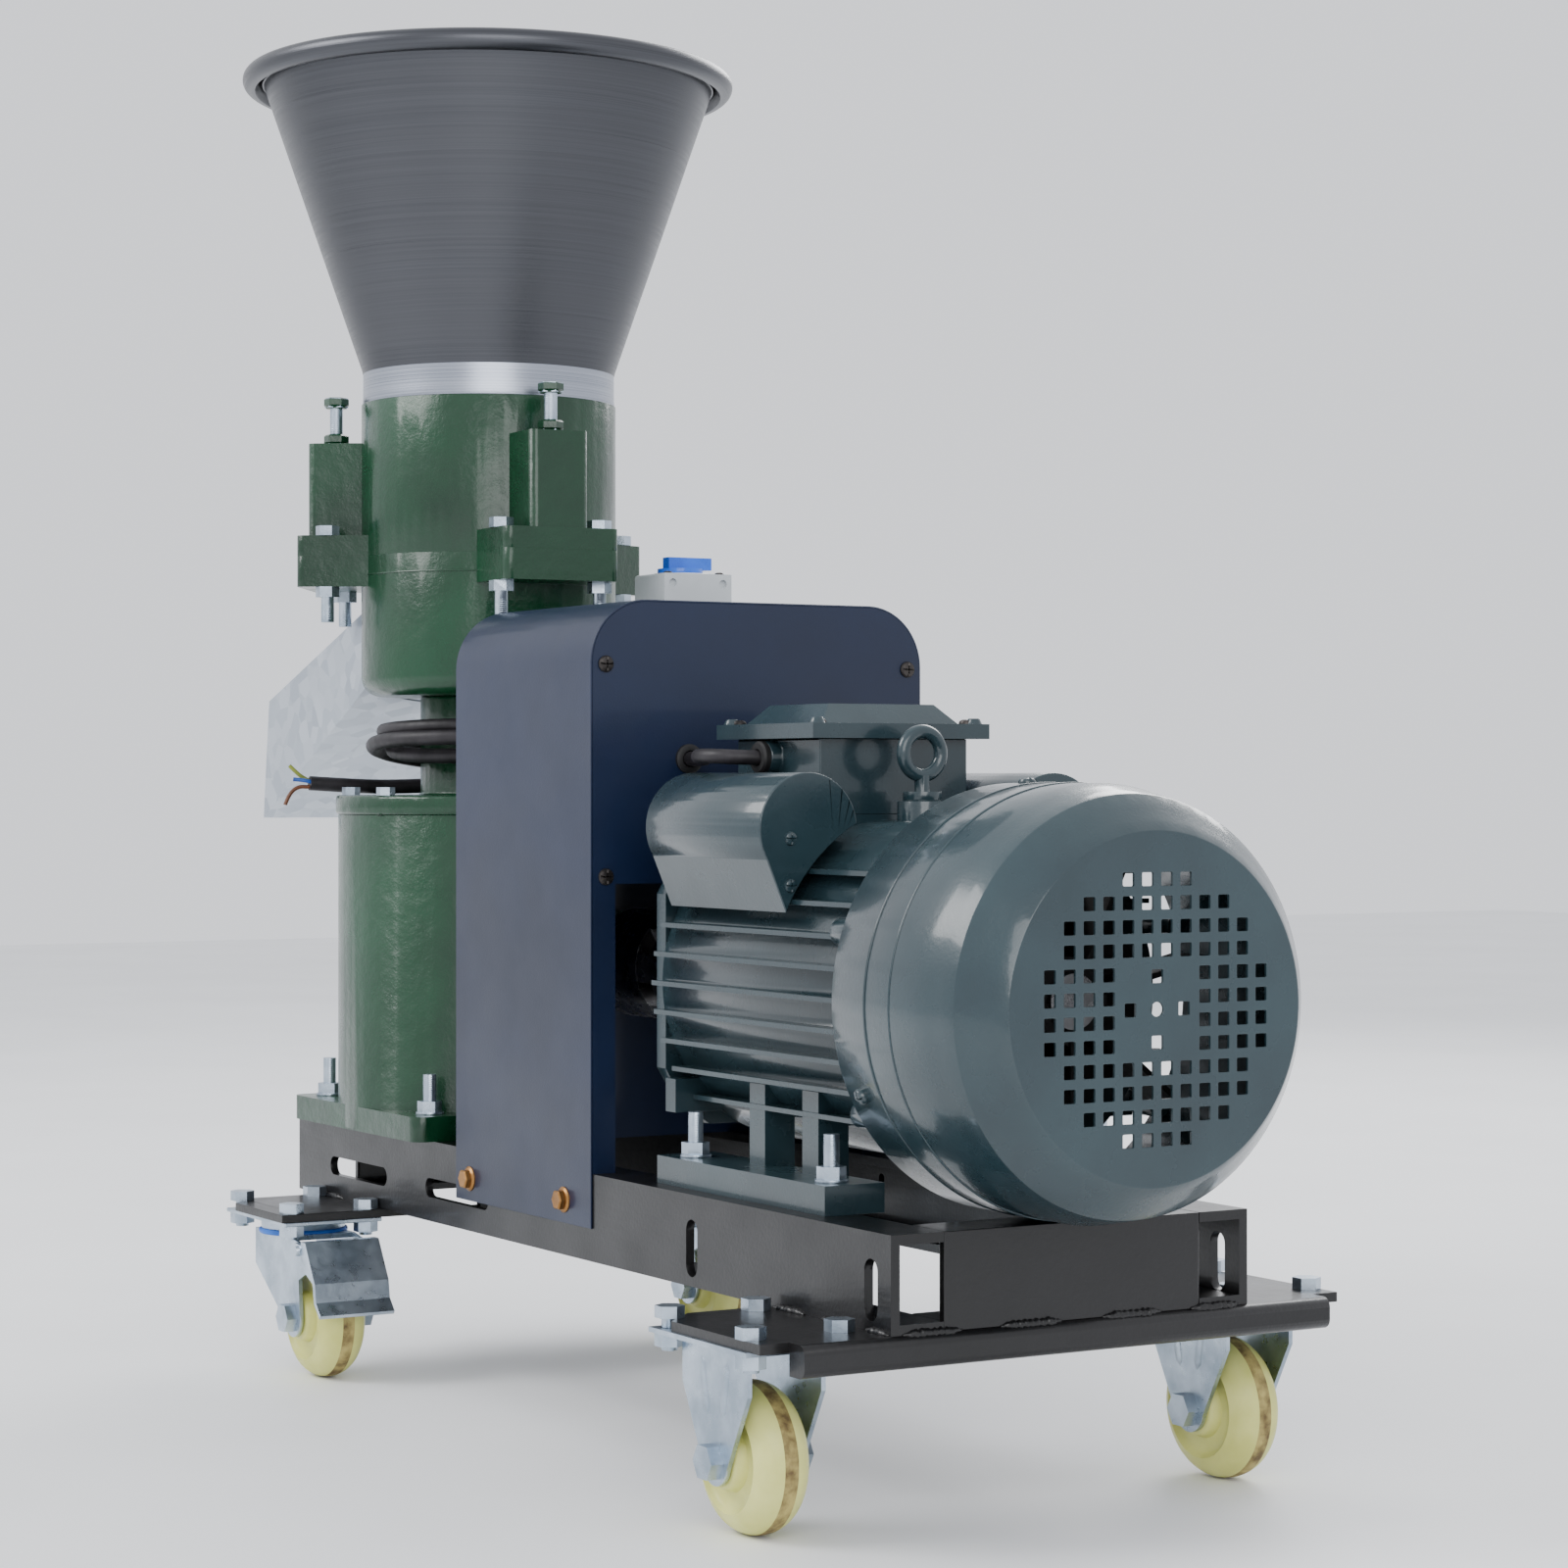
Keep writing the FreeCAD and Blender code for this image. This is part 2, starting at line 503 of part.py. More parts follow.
def wheel(label, x, y):
    """A crowned nylon wheel turned about its axle, dished between hub and rim."""
    half, hub, bore = "wheel_width / 2", "hub_width / 2", "axle_radius + running_gap"
    dish = f"{half} - wheel_dish"
    rising = [(bore, hub), ("wheel_hub - 1", hub), ("wheel_hub + 1", dish), ("wheel_radius - wheel_rim - 3", dish),
              ("wheel_radius - wheel_rim", half), ("wheel_radius", half)]
    lower = [(radius, f"-({height})") for radius, height in reversed(rising)]
    body = turned(rising + lower)
    rim = size("wheel_radius") - 0.01
    soften(body, "wheel_round", lambda box: box.ZLength < 0.01 and box.XMax > rim)
    node(label, body, (x, y, "wheel_radius"), *TURNS["y"])


# ---- gear case --------------------------------------------------------------------------------
def case_ring():
    return ring("case_radius - cover_bolt_inset", 6, SIZES["cover_bolt_start"])


def gear_case():
    """The cast case: square base, round wall, lower bearing seat and the nose toward the motor."""
    half = "base_half"
    square = [(f"-{half}", f"-{half}"), (half, f"-{half}"), (half, half), (f"-{half}", half)]
    base = soften(padded("XY_Plane", square, DECK, BASE_TOP), "base_corner", lambda box: box.ZLength > 5)
    wall = rod("z", "case_radius", f"{DECK} + 1", CASE_TOP)
    nose = rod("x", "nose_radius", "case_radius - 30", "nose_reach", "gear_offset", AXIS)
    hollow = rod("z", "case_radius - case_wall", f"{DECK} + 8", f"{CASE_TOP} + 1")
    bore = rod("x", "pinion_bearing_radius + running_gap", "40", "nose_reach + 1", "gear_offset", AXIS)
    studs = [rod("z", "bolt_radius + running_gap", f"{DECK} - 1", f"{BASE_TOP} + 1", *spot)
             for spot in corners("0", "0", "stud_offset", "stud_offset")]
    tapped = [rod("z", "screw_radius + running_gap", f"{CASE_TOP} - 15", f"{CASE_TOP} + 1", *spot)
              for spot in case_ring()]
    shell = cut(fuse(base, wall, nose), hollow, bore, *studs, *tapped)
    seat = tube("z", "bearing_radius + bearing_lip", "bearing_radius + running_gap", f"{DECK} + 7", f"{DECK} + 34")
    node("gear_case", fuse(shell, seat), MILL)


def gear_case_cover():
    """The bolted cover with the tall bearing neck that carries the chamber."""
    ledge, bore = "bearing_radius - bearing_lip", "bearing_radius + running_gap"
    seat = f"{NECK_TOP} - bearing_width - 4"
    body = turned([(ledge, CASE_TOP), ("cover_radius", CASE_TOP), ("cover_radius", COVER_TOP),
                   ("neck_radius", COVER_TOP), ("neck_radius", NECK_TOP), (bore, NECK_TOP), (bore, seat),
                   (ledge, seat)])
    holes = [rod("z", "screw_radius + air_gap", f"{CASE_TOP} - 1", f"{COVER_TOP} + 1", *spot)
             for spot in case_ring()]
    node("gear_case_cover", cut(body, *holes), MILL)


def base_fasteners():
    """The cover's screws, and studs with washers and nuts that hold the gear case and the motor."""
    screws = [bolt("z", "screw_radius", "screw_across", COVER_TOP, f"{COVER_TOP} + screw_head",
                   f"{CASE_TOP} - 12", *spot) for spot in case_ring()]
    pieces = [move(group(*screws), "mill_x", "mill_y")]
    for places, thick in ((CASE_STUDS, "base_height"), (FOOT_BOLTS, "foot_height")):
        for spot in places:
            seat = f"({DECK} + {thick})"
            under_nut = f"{seat} + washer_height"
            pieces.append(rod("z", "bolt_radius", f"{DECK} - stud_depth", f"{seat} + stud_reach", *spot))
            pieces.append(tube("z", "washer_radius", "bolt_radius + running_gap", seat, under_nut, *spot))
            pieces.append(nut("z", "bolt_radius", "bolt_across", under_nut, f"{under_nut} + nut_height", *spot))
    node("base_fasteners", group(*pieces))


def bearings():
    """Sealed ball bearings of the main shaft and of the input shaft, each as one closed ring."""
    pieces = []
    for low in (f"{DECK} + 14", f"{NECK_TOP} - bearing_width - 4"):
        pieces.append(tube("z", "bearing_radius", "shaft_radius + running_gap", low, f"{low} + bearing_width"))
    for low in ("nose_reach - pinion_bearing_width - 1", "nose_reach - 2 * pinion_bearing_width - 6"):
        pieces.append(tube("x", "pinion_bearing_radius", "input_radius + running_gap", low,
                           f"{low} + pinion_bearing_width", "gear_offset", AXIS))
    node("gearbox_bearings", group(*pieces), MILL)


def main_shaft():
    """The upright shaft with the pellet thrower disc and its two paddles."""
    disc = f"{POT_FLOOR} + throw_rise"
    body = turned([("0", f"{DECK} + 12"), ("shaft_radius", f"{DECK} + 12"), ("shaft_radius", f"{GEAR_LOW} - 6"),
                   ("gear_bore + 6", f"{GEAR_LOW} - 6"), ("gear_bore + 6", f"{GEAR_LOW} - 0.1"),
                   ("gear_bore", f"{GEAR_LOW} - 0.1"), ("gear_bore", GEAR_FACE), ("shaft_radius", GEAR_FACE),
                   ("shaft_radius", disc), ("throw_radius", disc), ("throw_radius", f"{disc} + throw_wall"),
                   ("hub_flange", f"{disc} + throw_wall"), ("hub_flange", f"{DIE_LOW} - 0.1"),
                   ("die_bore", f"{DIE_LOW} - 0.1"), ("die_bore", f"{SEAM} + 6"), ("0", f"{SEAM} + 6")])
    top = f"{disc} + throw_wall"
    paddles = [block(side_span(side, "hub_flange + 1", "throw_radius - 1"), ("-2", "2"),
                     (f"{top} - 1", f"{top} + paddle_height")) for _, side in SIDES]
    node("main_shaft", fuse(body, *paddles), MILL)


def ring_gear():
    """The large bevel wheel; its teeth stand on the upper face, skewed for the offset pinion."""
    bore, hub = "gear_bore + running_gap", f"{GEAR_FACE} - 6"
    body = turned([(bore, GEAR_LOW), ("gear_radius", f"{GEAR_LOW} + 5"), ("gear_radius", GEAR_FACE),
                   ("46", GEAR_FACE), ("40", hub), (bore, hub)])
    low, high = "gear_offset - tooth_width / 2", "gear_offset + tooth_width / 2"
    bar = [("tooth_inner", low), ("tooth_outer", low), ("tooth_outer", high), ("tooth_inner", high)]
    sketch = outline(body, "XY_Plane", bar)
    bind(sketch, "AttachmentOffset.Base.z", f"{GEAR_FACE} - 0.5")
    tooth = body.newObject("PartDesign::Pad", "tooth")
    tooth.Profile = sketch
    bind(tooth, "Length", "tooth_height + 0.5")
    doc.recompute()
    teeth = body.newObject("PartDesign::PolarPattern", "teeth")
    teeth.Originals = [tooth]
    teeth.Axis = (plane(body, "Z_Axis"), [""])
    teeth.Angle = 360
    bind(teeth, "Occurrences", "gear_teeth")
    body.Tip = teeth
    node("ring_gear", body, MILL, (0, 0, 1), 180 / SIZES["gear_teeth"])


def jaws(low, high, start):
    """Three coupling jaws, spread about the shaft, between two stations along it."""
    pieces = []
    for angle in LUGS:
        wedge = block(("-jaw_half", "jaw_half"), ("0", "hub_radius + 5"), (low, high))
        pieces.append(spun([common(tube("z", "hub_radius", "jaw_inner", low, high), wedge)], start + angle))
    return pieces


def input_shaft():
    """The pinion shaft with its teeth and its half of the jaw coupling, drawn from the mill's axis."""
    low, high = "tooth_inner - 2", "tooth_outer + 3"
    hub_low = "nose_reach + 36"
    hub_high = f"{hub_low} + hub_length"
    pieces = [rod("z", "pinion_root", low, high), rod("z", "input_radius", f"{low} - 2", f"{hub_low} + 20"),
              rod("z", "hub_radius", hub_low, hub_high)]
    for i in range(SIZES["pinion_teeth"]):
        tooth = block(("0", "pinion_radius"), ("-tooth_width / 2", "tooth_width / 2"), (low, high))
        pieces.append(spun([tooth], i * 360 / SIZES["pinion_teeth"]))
    pieces += jaws(f"{hub_high} - 1", f"{hub_high} + jaw_length", 0)
    node("input_shaft", fuse(*pieces), ("mill_x", "mill_y + gear_offset", AXIS), *TURNS["x"])


# ---- pellet chamber ---------------------------------------------------------------------------
CLAMP_BOLTS = [("lug_bolt_reach", "-lug_bolt_half"), ("lug_bolt_reach", "lug_bolt_half")]
AT_LUGS = (MILL, (0, 0, 1), SIZES["lug_angle"])


def around(make):
    """The pieces that a function makes, turned to each of the three lugs."""
    return [spun(make(), angle) for angle in LUGS]


def lug_block(reach, width, low, high):
    """A cast lug that runs from inside the wall out to its flat face, with rounded outer corners."""
    half, inner = f"({width}) / 2", "pot_radius - pot_wall - 7"
    square = [(inner, f"-{half}"), (reach, f"-{half}"), (reach, half), (inner, half)]
    far = size(reach) - 0.01
    return soften(padded("XY_Plane", square, low, high), "lug_corner",
                  lambda box: box.ZLength > 5 and box.XMin > far)


def clamp_holes(low, high):
    return around(lambda: [rod("z", "bolt_radius + air_gap", low, high, *spot) for spot in CLAMP_BOLTS])


def discharge_chamber():
    """The lower pot: it surrounds the die and the thrower disc and opens toward the chute."""
    inner, hole = "pot_radius - pot_wall", "shaft_radius + 2.5"
    body = turned([(hole, NECK_TOP), ("pot_radius", NECK_TOP), ("pot_radius", SEAM), (inner, SEAM),
                   (inner, POT_FLOOR), (hole, POT_FLOOR)])
    wide, floor = size("pot_radius") - 0.01, size(NECK_TOP) + 0.01
    soften(body, "pot_edge", lambda box: box.ZMax < floor and box.XMax > wide)
    lugs = around(lambda: [lug_block("lug_reach", "lug_width", f"{SEAM} - lug_below", SEAM)])
    bore = rod("z", inner, POT_FLOOR, f"{SEAM} + 1")
    mouth = spun([block(("-pot_radius - 5", "-pot_radius + 30"), ("-mouth_half", "mouth_half"),
                        (f"{NECK_TOP} + mouth_low", f"{NECK_TOP} + mouth_high"))], -SIZES["lug_angle"])
    holes = clamp_holes(f"{SEAM} - lug_below - 1", f"{SEAM} + 1")
    node("discharge_chamber", cut(fuse(body, *lugs), bore, mouth, *holes), *AT_LUGS)


def roller_chamber():
    """The upper ring: three towers take the ends of the roller arms and the adjusting bolts."""
    top = f"{SEAM} + lug_above"
    lugs = around(lambda: [lug_block("lug_reach", "lug_width", SEAM, top)])
    towers = around(lambda: [lug_block("tower_reach", "tower_width", f"{SEAM} + 1", TOWER_TOP)])
    bore = rod("z", "pot_radius - ring_wall", f"{SEAM} - 1", f"{RING_TOP} + 1")
    way = ("-arm_block - 2", "arm_block + 2")

    def arm_slot():
        roof = f"{TOWER_TOP} - tower_roof"
        gap = block(("pot_radius - 30", "tower_reach - 6"), way, (f"{SEAM} - 1", roof))
        return [fuse(gap, rod("z", "bolt_radius + seat_gap", f"{roof} - 1", f"{TOWER_TOP} + 1", "lug_bolt_reach"))]
    tools = [bore, *around(arm_slot), *clamp_holes(f"{SEAM} - 1", f"{top} + 1")]
    node("roller_chamber", cut(fuse(rod("z", "pot_radius", SEAM, RING_TOP), *lugs, *towers), *tools), *AT_LUGS)


def chamber_bolts():
    """Six bolts that clamp the chamber castings at the lugs, and the adjusters' lock nuts."""
    top, under = f"{SEAM} + lug_above", f"{SEAM} - lug_below"

    def at_lug():
        pieces = [nut("z", "bolt_radius + seat_gap", "bolt_across", TOWER_TOP, f"{TOWER_TOP} + bolt_head",
                      "lug_bolt_reach", "0")]
        for spot in CLAMP_BOLTS:
            pieces.append(bolt("z", "bolt_radius", "bolt_across", top, f"{top} + bolt_head", f"{under} - 22", *spot))
            pieces.append(nut("z", "bolt_radius", "bolt_across", f"{under} - nut_height", under, *spot))
        return pieces
    node("chamber_bolts", group(*around(at_lug)), *AT_LUGS)


def roller_set():
    """Three-armed roller carrier, its adjusting bolts and three ribbed rollers on the arms."""
    block_top = f"{ROLLER_Z} + arm_radius + 1"

    def arm():
        end = block(("lug_bolt_reach - 13", "lug_bolt_reach + 6"), ("-arm_block", "arm_block"),
                    (f"{ROLLER_Z} - arm_radius - 1", block_top))
        return [fuse(rod("x", "arm_radius", "0", "lug_bolt_reach + 4", "0", ROLLER_Z), end)]

    def adjuster():
        return [bolt("z", "bolt_radius", "bolt_across", RING_TOP, f"{RING_TOP} + bolt_head", block_top,
                     "lug_bolt_reach", "0")]
    hub = rod("z", "arm_hub", f"{ROLLER_Z} - 15", f"{ROLLER_Z} + 15")
    node("roller_carrier", fuse(hub, *around(arm)), *AT_LUGS)
    node("adjusting_bolts", group(*around(adjuster)), *AT_LUGS)
    low, high = "roller_inner", "roller_inner + roller_width"
    for letter, angle in zip("abc", LUGS):
        flutes = [rod("z", "flute_radius", f"{low} - 1", f"{high} + 1", *spot)
                  for spot in ring("roller_radius + 0.4", SIZES["roller_flutes"], 9)]
        roller = cut(tube("z", "roller_radius", "arm_radius + running_gap", low, high), *flutes)
        move(roller, z=ROLLER_Z, turn=(0, 1, 0), angle=90)
        node(f"press_roller_{letter}", group(roller), MILL, (0, 0, 1), SIZES["lug_angle"] + angle)


def flat_die():
    """The perforated die plate that turns with the main shaft."""
    plate = tube("z", "die_radius", "die_bore + running_gap", DIE_LOW, SEAM)
    holes = []
    for radius, count in ((36, 18), (46, 24), (56, 30)):
        holes += [rod("z", "die_hole", f"{DIE_LOW} - 1", f"{SEAM} + 1", *spot) for spot in ring(radius, count)]
    node("flat_die", cut(plate, *holes), MILL)


def hopper():
    """The spun feed hopper: a spigot in the chamber, a short band, a long cone and a rolled rim."""
    wall, band_in = "hopper_wall", "band_radius - 1.1 * hopper_wall"
    spigot, seat = "(pot_radius - ring_wall - air_gap)", f"{RING_TOP} + seat_gap"
    low = f"{RING_TOP} - spigot_depth"
    body = turned([(f"{spigot} - {wall}", low), (spigot, low), (spigot, seat), ("band_radius", seat),
                   ("band_radius", CONE_LOW), ("hopper_radius", CONE_TOP), (f"hopper_radius - {wall}", CONE_TOP),
                   (band_in, CONE_LOW), (band_in, f"{seat} + {wall}"), (f"{spigot} - {wall}", f"{seat} + {wall}")])
    bead = doc.addObject("Part::Torus", "bead")
    bind(bead, "Radius1", "bead_centre")
    bind(bead, "Radius2", "bead_radius")
    bind(bead, "Placement.Base.z", f"{CONE_TOP} + 1.5")
    node("feed_hopper", fuse(body, bead), MILL)


def discharge_chute():
    """Folded sheet chute: two side walls, a sloping roof and a sloping floor, open at both ends."""
    low, high, wall = "mill_y - chute_half", "mill_y + chute_half", "chute_wall"
    levels = {name: f"({SEAM} - {name})" for name in ("chute_top", "chute_knee", "chute_lip", "chute_floor", "chute_heel")}
    top, knee, lip, floor, heel = levels.values()
    outside = padded("XZ_Plane", [("chute_back_x", top), ("chute_knee_x", knee), ("chute_lip_x", lip),
                                  ("chute_floor_x", floor), ("chute_back_x", heel)], low, high)
    beyond = "chute_lip_x - 10"
    inside = padded("XZ_Plane", [("chute_back_x", f"{top} - {wall}"), ("chute_knee_x", f"{knee} - {wall}"),
                                 (beyond, f"{knee} - {wall} - 4"), (beyond, f"{lip} + {wall} - 5"),
                                 ("chute_floor_x", f"{floor} + {wall}"), ("chute_back_x", f"{heel} + {wall}")],
                    f"{low} + {wall}", f"{high} - {wall}")
    open_back = block(("chute_back_x - 0.5", "chute_back_x + 10"), (f"{low} + {wall}", f"{high} - {wall}"),
                      (f"{heel} + {wall}", f"{top} - {wall}"))
    pot = rod("z", "pot_radius + 0.05", f"{NECK_TOP} - 30", SEAM, "mill_x", "mill_y")
    lugs = [move(spun([lug_block("lug_reach + seat_gap", "lug_width + 2 * seat_gap",
                                 f"{SEAM} - lug_below - seat_gap", SEAM)], SIZES["lug_angle"] + angle),
                 "mill_x", "mill_y") for angle in LUGS]
    node("discharge_chute", cut(outside, inside, open_back, pot, *lugs))


# ---- guard ------------------------------------------------------------------------------------
TIN_SCREWS = [(f"{side} * (frame_half_width - tin_screw_inset)", f"{AXIS} + {rise}")
              for _, side in SIDES for rise in (172.5, 55.5)]
RAIL_SCREWS = ("guard_screw_left", "guard_screw_right")


def arch(x_low, x_high, half, bottom, top, corner):
    """A solid with an arched outline across Y: straight sides and two rounded top corners."""
    square = [(f"-({half})", bottom), (half, bottom), (half, top), (f"-({half})", top)]
    roof, depth = size(top) - 0.01, size(f"({x_high}) - ({x_low})") - 0.01
    return soften(padded("YZ_Plane", square, x_low, x_high), corner,
                  lambda box: box.XLength > depth and box.YLength < 0.01 and box.ZMin > roof)


def guard_plate(label, x_low, *tools):
    """One end plate, which fits inside the band."""
    roof, corner = f"{GUARD_TOP} - guard_wall", "guard_corner - guard_wall"
    plate = arch(x_low, f"{x_low} + guard_wall", "frame_half_width", DECK, roof, corner)
    node(label, cut(plate, *tools))


def guard():
    """The folded sheet guard over the coupling: a band across the frame and a plate at each end."""
    outer, bottom = "(frame_half_width + guard_wall)", f"{DECK} - guard_skirt"
    shell = arch("guard_low_x", GUARD_HIGH, outer, bottom, GUARD_TOP, "guard_corner")
    hollow = arch("guard_low_x - 1", f"{GUARD_HIGH} + 1", "frame_half_width", f"{bottom} - 1",
                  f"{GUARD_TOP} - guard_wall", "guard_corner - guard_wall")
    holes = [rod("y", "screw_radius + running_gap", f"-{outer} - 1", f"{outer} + 1", x, f"{DECK} - guard_screw_drop")
             for x in RAIL_SCREWS]
    node("guard_band", cut(shell, hollow, *holes))
    front = f"{GUARD_HIGH} - guard_wall"
    strip = "(frame_half_width - guard_strip)"
    opening = block((f"{front} - 1", f"{GUARD_HIGH} + 1"), (f"-{strip}", strip), (f"{DECK} - 1", f"{AXIS} + guard_cut"))
    grommet = rod("x", "lead_radius + 1", f"{front} - 1", f"{GUARD_HIGH} + 1", "-46", f"{AXIS} + lead_gland_rise")
    tapped = [rod("x", "tin_screw + running_gap", f"{front} - 1", f"{GUARD_HIGH} + 1", *spot) for spot in TIN_SCREWS]
    guard_plate("guard_motor_plate", front, opening, grommet, *tapped)
    window = rod("x", "guard_window", "guard_low_x - 1", "guard_low_x + 3", "mill_y + gear_offset", AXIS)
    lead_way = rod("x", "lead_radius + 1", "guard_low_x - 1", "guard_low_x + 3", "lead_y", f"{GUARD_TOP} - lead_drop")
    guard_plate("guard_mill_plate", "guard_low_x", window, lead_way)


def guard_screws():
    """Pan screws in the motor-side plate and flanged hexagon screws into the rails."""
    pieces = [fuse(cone("x", "4.6", "3", GUARD_HIGH, f"{GUARD_HIGH} + 3", *spot),
                   rod("x", "tin_screw", f"{GUARD_HIGH} - 9", GUARD_HIGH, *spot)) for spot in TIN_SCREWS]
    face = "frame_half_width + guard_wall"
    for _, side in SIDES:
        for x in RAIL_SCREWS:
            spot = (x, f"{DECK} - guard_screw_drop")
            pieces.append(fuse(rod("y", "7.5", *side_span(side, face, f"{face} + 1.6"), *spot),
                               hexagon("y", "screw_across", *side_span(side, f"{face} + 1.6", f"{face} + 6"), *spot),
                               rod("y", "screw_radius", *side_span(side, "frame_half_width - 12", f"{face} + 1"), *spot)))
    node("guard_screws", group(*pieces))


# ---- motor ------------------------------------------------------------------------------------
BOSS_REACH = "(fan_cover_radius - cover_wall - 7.05)"
COVER_BOSSES = [(f"{BOSS_REACH} * cos({a})", f"{AXIS} + {BOSS_REACH} * sin({a})") for a in (20, 160, 215, 325)]


def motor_fins():
    """Level cooling fins on both sides, cut off to a round outline."""
    fins = []
    for _, side in SIDES:
        for k in range(-4, 5):
            height = f"({AXIS} + {k} * fin_pitch)"
            reach = f"sqrt(fin_reach ^ 2 - ({abs(k)} * fin_pitch + fin_wall / 2) ^ 2)"
            fins.append(block(("motor_low_x + 6", MOTOR_HIGH), side_span(side, "30", reach),
                              (f"{height} - fin_wall / 2", f"{height} + fin_wall / 2")))
    return fins


def motor_feet():
    """A foot pad along each rail, and the legs that join it to the housing."""
    pieces = []
    for _, side in SIDES:
        pieces.append(block(("foot_x - foot_half_length", "foot_x + foot_half_length"),
                            side_span(side, "60", "foot_half"), (DECK, f"{DECK} + foot_height")))
        for x in ("foot_x - 24", "foot_x + 30"):
            pieces.append(block((x, f"{x} + 16"), side_span(side, "56", "74"), (f"{DECK} + 2", f"{AXIS} - 50")))
    return pieces


def motor_frame():
    """The finned motor housing with its feet and the seats of the terminal box and lifting eye."""
    long = ("motor_low_x", MOTOR_HIGH)
    ears = [block(("motor_low_x", "motor_low_x + 11"), side_span(side, "56", "shield_side"), span)
            for _, side in SIDES
            for span in ((f"{AXIS} + 52", f"{AXIS} + 70"), (f"{AXIS} - 70", f"{AXIS} - 52"))]
    saddle = block(("box_x - box_half_x", "box_x + box_half_x"), ("-box_half + 6", "box_half - 6"),
                   (f"{AXIS} + 60", BOX_FLOOR))
    seat = rod("z", "13", f"{AXIS} + 80", f"{AXIS} + eye_seat", "eye_x")
    bosses = [rod("x", "7", f"{MOTOR_HIGH} - 12", "fan_cover_low + 14", *spot) for spot in COVER_BOSSES]
    solid = fuse(rod("x", "shell_radius", *long, "0", AXIS), *motor_fins(), *ears, *motor_feet(), saddle, seat, *bosses)
    bore = rod("x", "stator_radius + running_gap", "motor_low_x - 1", f"{MOTOR_HIGH} - 12", "0", AXIS)
    shaft_way = rod("x", "motor_shaft + 2", f"{MOTOR_HIGH} - 13", f"{MOTOR_HIGH} + 1", "0", AXIS)
    holes = [rod("z", "bolt_radius + air_gap", f"{DECK} - 1", f"{DECK} + foot_height + 1", *spot) for spot in FOOT_BOLTS]
    eye_hole = rod("z", "bolt_radius + running_gap", f"{AXIS} + 80", f"{AXIS} + eye_seat + 1", "eye_x")
    node("motor_frame", cut(solid, bore, shaft_way, eye_hole, *holes))


def drive_end_shield():
    """The cast end shield: round seat, flat sides and a nose round the shaft."""
    x = ("(motor_low_x - shield_depth)", "motor_low_x")
    square = block(x, ("-shield_side", "shield_side"), (f"{AXIS} - shield_half", f"{AXIS} + shield_half"))
    face = common(rod("x", "shield_radius", *x, "0", AXIS), square)
    spigot = rod("x", "stator_radius", "motor_low_x - 1", "motor_low_x + 5", "0", AXIS)
    nose = rod("x", "34", f"{x[0]} - 8", f"{x[0]} + 1", "0", AXIS)
    bore = rod("x", "motor_shaft + running_gap", f"{x[0]} - 9", "motor_low_x + 6", "0", AXIS)
    node("drive_end_shield", cut(fuse(face, spigot, nose), bore))


def vent(column, row):
    """One square vent in the fan cover's flat face."""
    half, u, v = "vent_size / 2", f"({column}) * vent_pitch", f"({row}) * vent_pitch"
    return block((f"{u} - {half}", f"{u} + {half}"), (f"{v} - {half}", f"{v} + {half}"),
                 ("fan_cover_length - 10", "fan_cover_length + 1"))


def fan_cover():
    """The pressed fan cover, domed to a flat grille with square vents round a centre hole."""
    wall, long, face = "cover_wall", "fan_cover_length", "fan_cover_length - cover_wall"
    body = turned([(f"fan_cover_radius - {wall}", "0"), ("fan_cover_radius", "0"), ("fan_cover_radius", f"{long} - 46"),
                   ("fan_cover_radius - 5", f"{long} - 20"), ("fan_face_radius", long), ("0", long), ("0", face),
                   ("fan_face_radius - 1", face), (f"fan_cover_radius - 5 - {wall}", f"{long} - 21"),
                   (f"fan_cover_radius - {wall}", f"{long} - 46")])
    split = (0, 1, 2, 3, 8, 9, 10, 11)
    rows = [range(4, 8), range(2, 10), range(1, 11), range(1, 11), split, split]
    vents = [vent(column - 5.5, row - 5.5) for row in range(12) for column in rows[min(row, 11 - row)]]
    vents += [vent(u, v) for u, v in ((1.4, 0), (-1.4, 0), (0, 1.4), (0, -1.4))]
    vents.append(rod("z", "3.5", f"{long} - 10", f"{long} + 1"))
    node("fan_cover", cut(body, *vents), ("fan_cover_low", "0", AXIS), *TURNS["x"])


def motor_inside():
    """The stator, the rotor with its shaft and half coupling, and the cooling fan."""
    core = ("foot_x - stator_half_length", "foot_x + stator_half_length")
    node("stator", tube("x", "stator_radius", "rotor_radius + air_gap", *core, "0", AXIS))
    fan = "fan_cover_low + 20"
    face = f"{HUB_END} + jaw_length + 1"
    pieces = [rod("z", "motor_shaft", f"{face} + 5", f"{fan} + 33"), rod("z", "rotor_radius", core[0], core[1]),
              rod("z", "hub_radius", face, f"{face} + hub_length - 6")]
    pieces += jaws(f"{HUB_END} + 1", f"{face} + 1", 60)
    node("motor_rotor", fuse(*pieces), ("0", "0", AXIS), *TURNS["x"])
    hub = tube("z", "22", "motor_shaft", fan, f"{fan} + 30")
    disc = tube("z", "60", "21", fan, f"{fan} + 4")
    blades = [spun([block(("20", "88"), ("-1.5", "1.5"), (fan, f"{fan} + 32"))], i * 360 / 7) for i in range(7)]
    node("cooling_fan", fuse(hub, disc, *blades), ("0", "0", AXIS), *TURNS["x"])


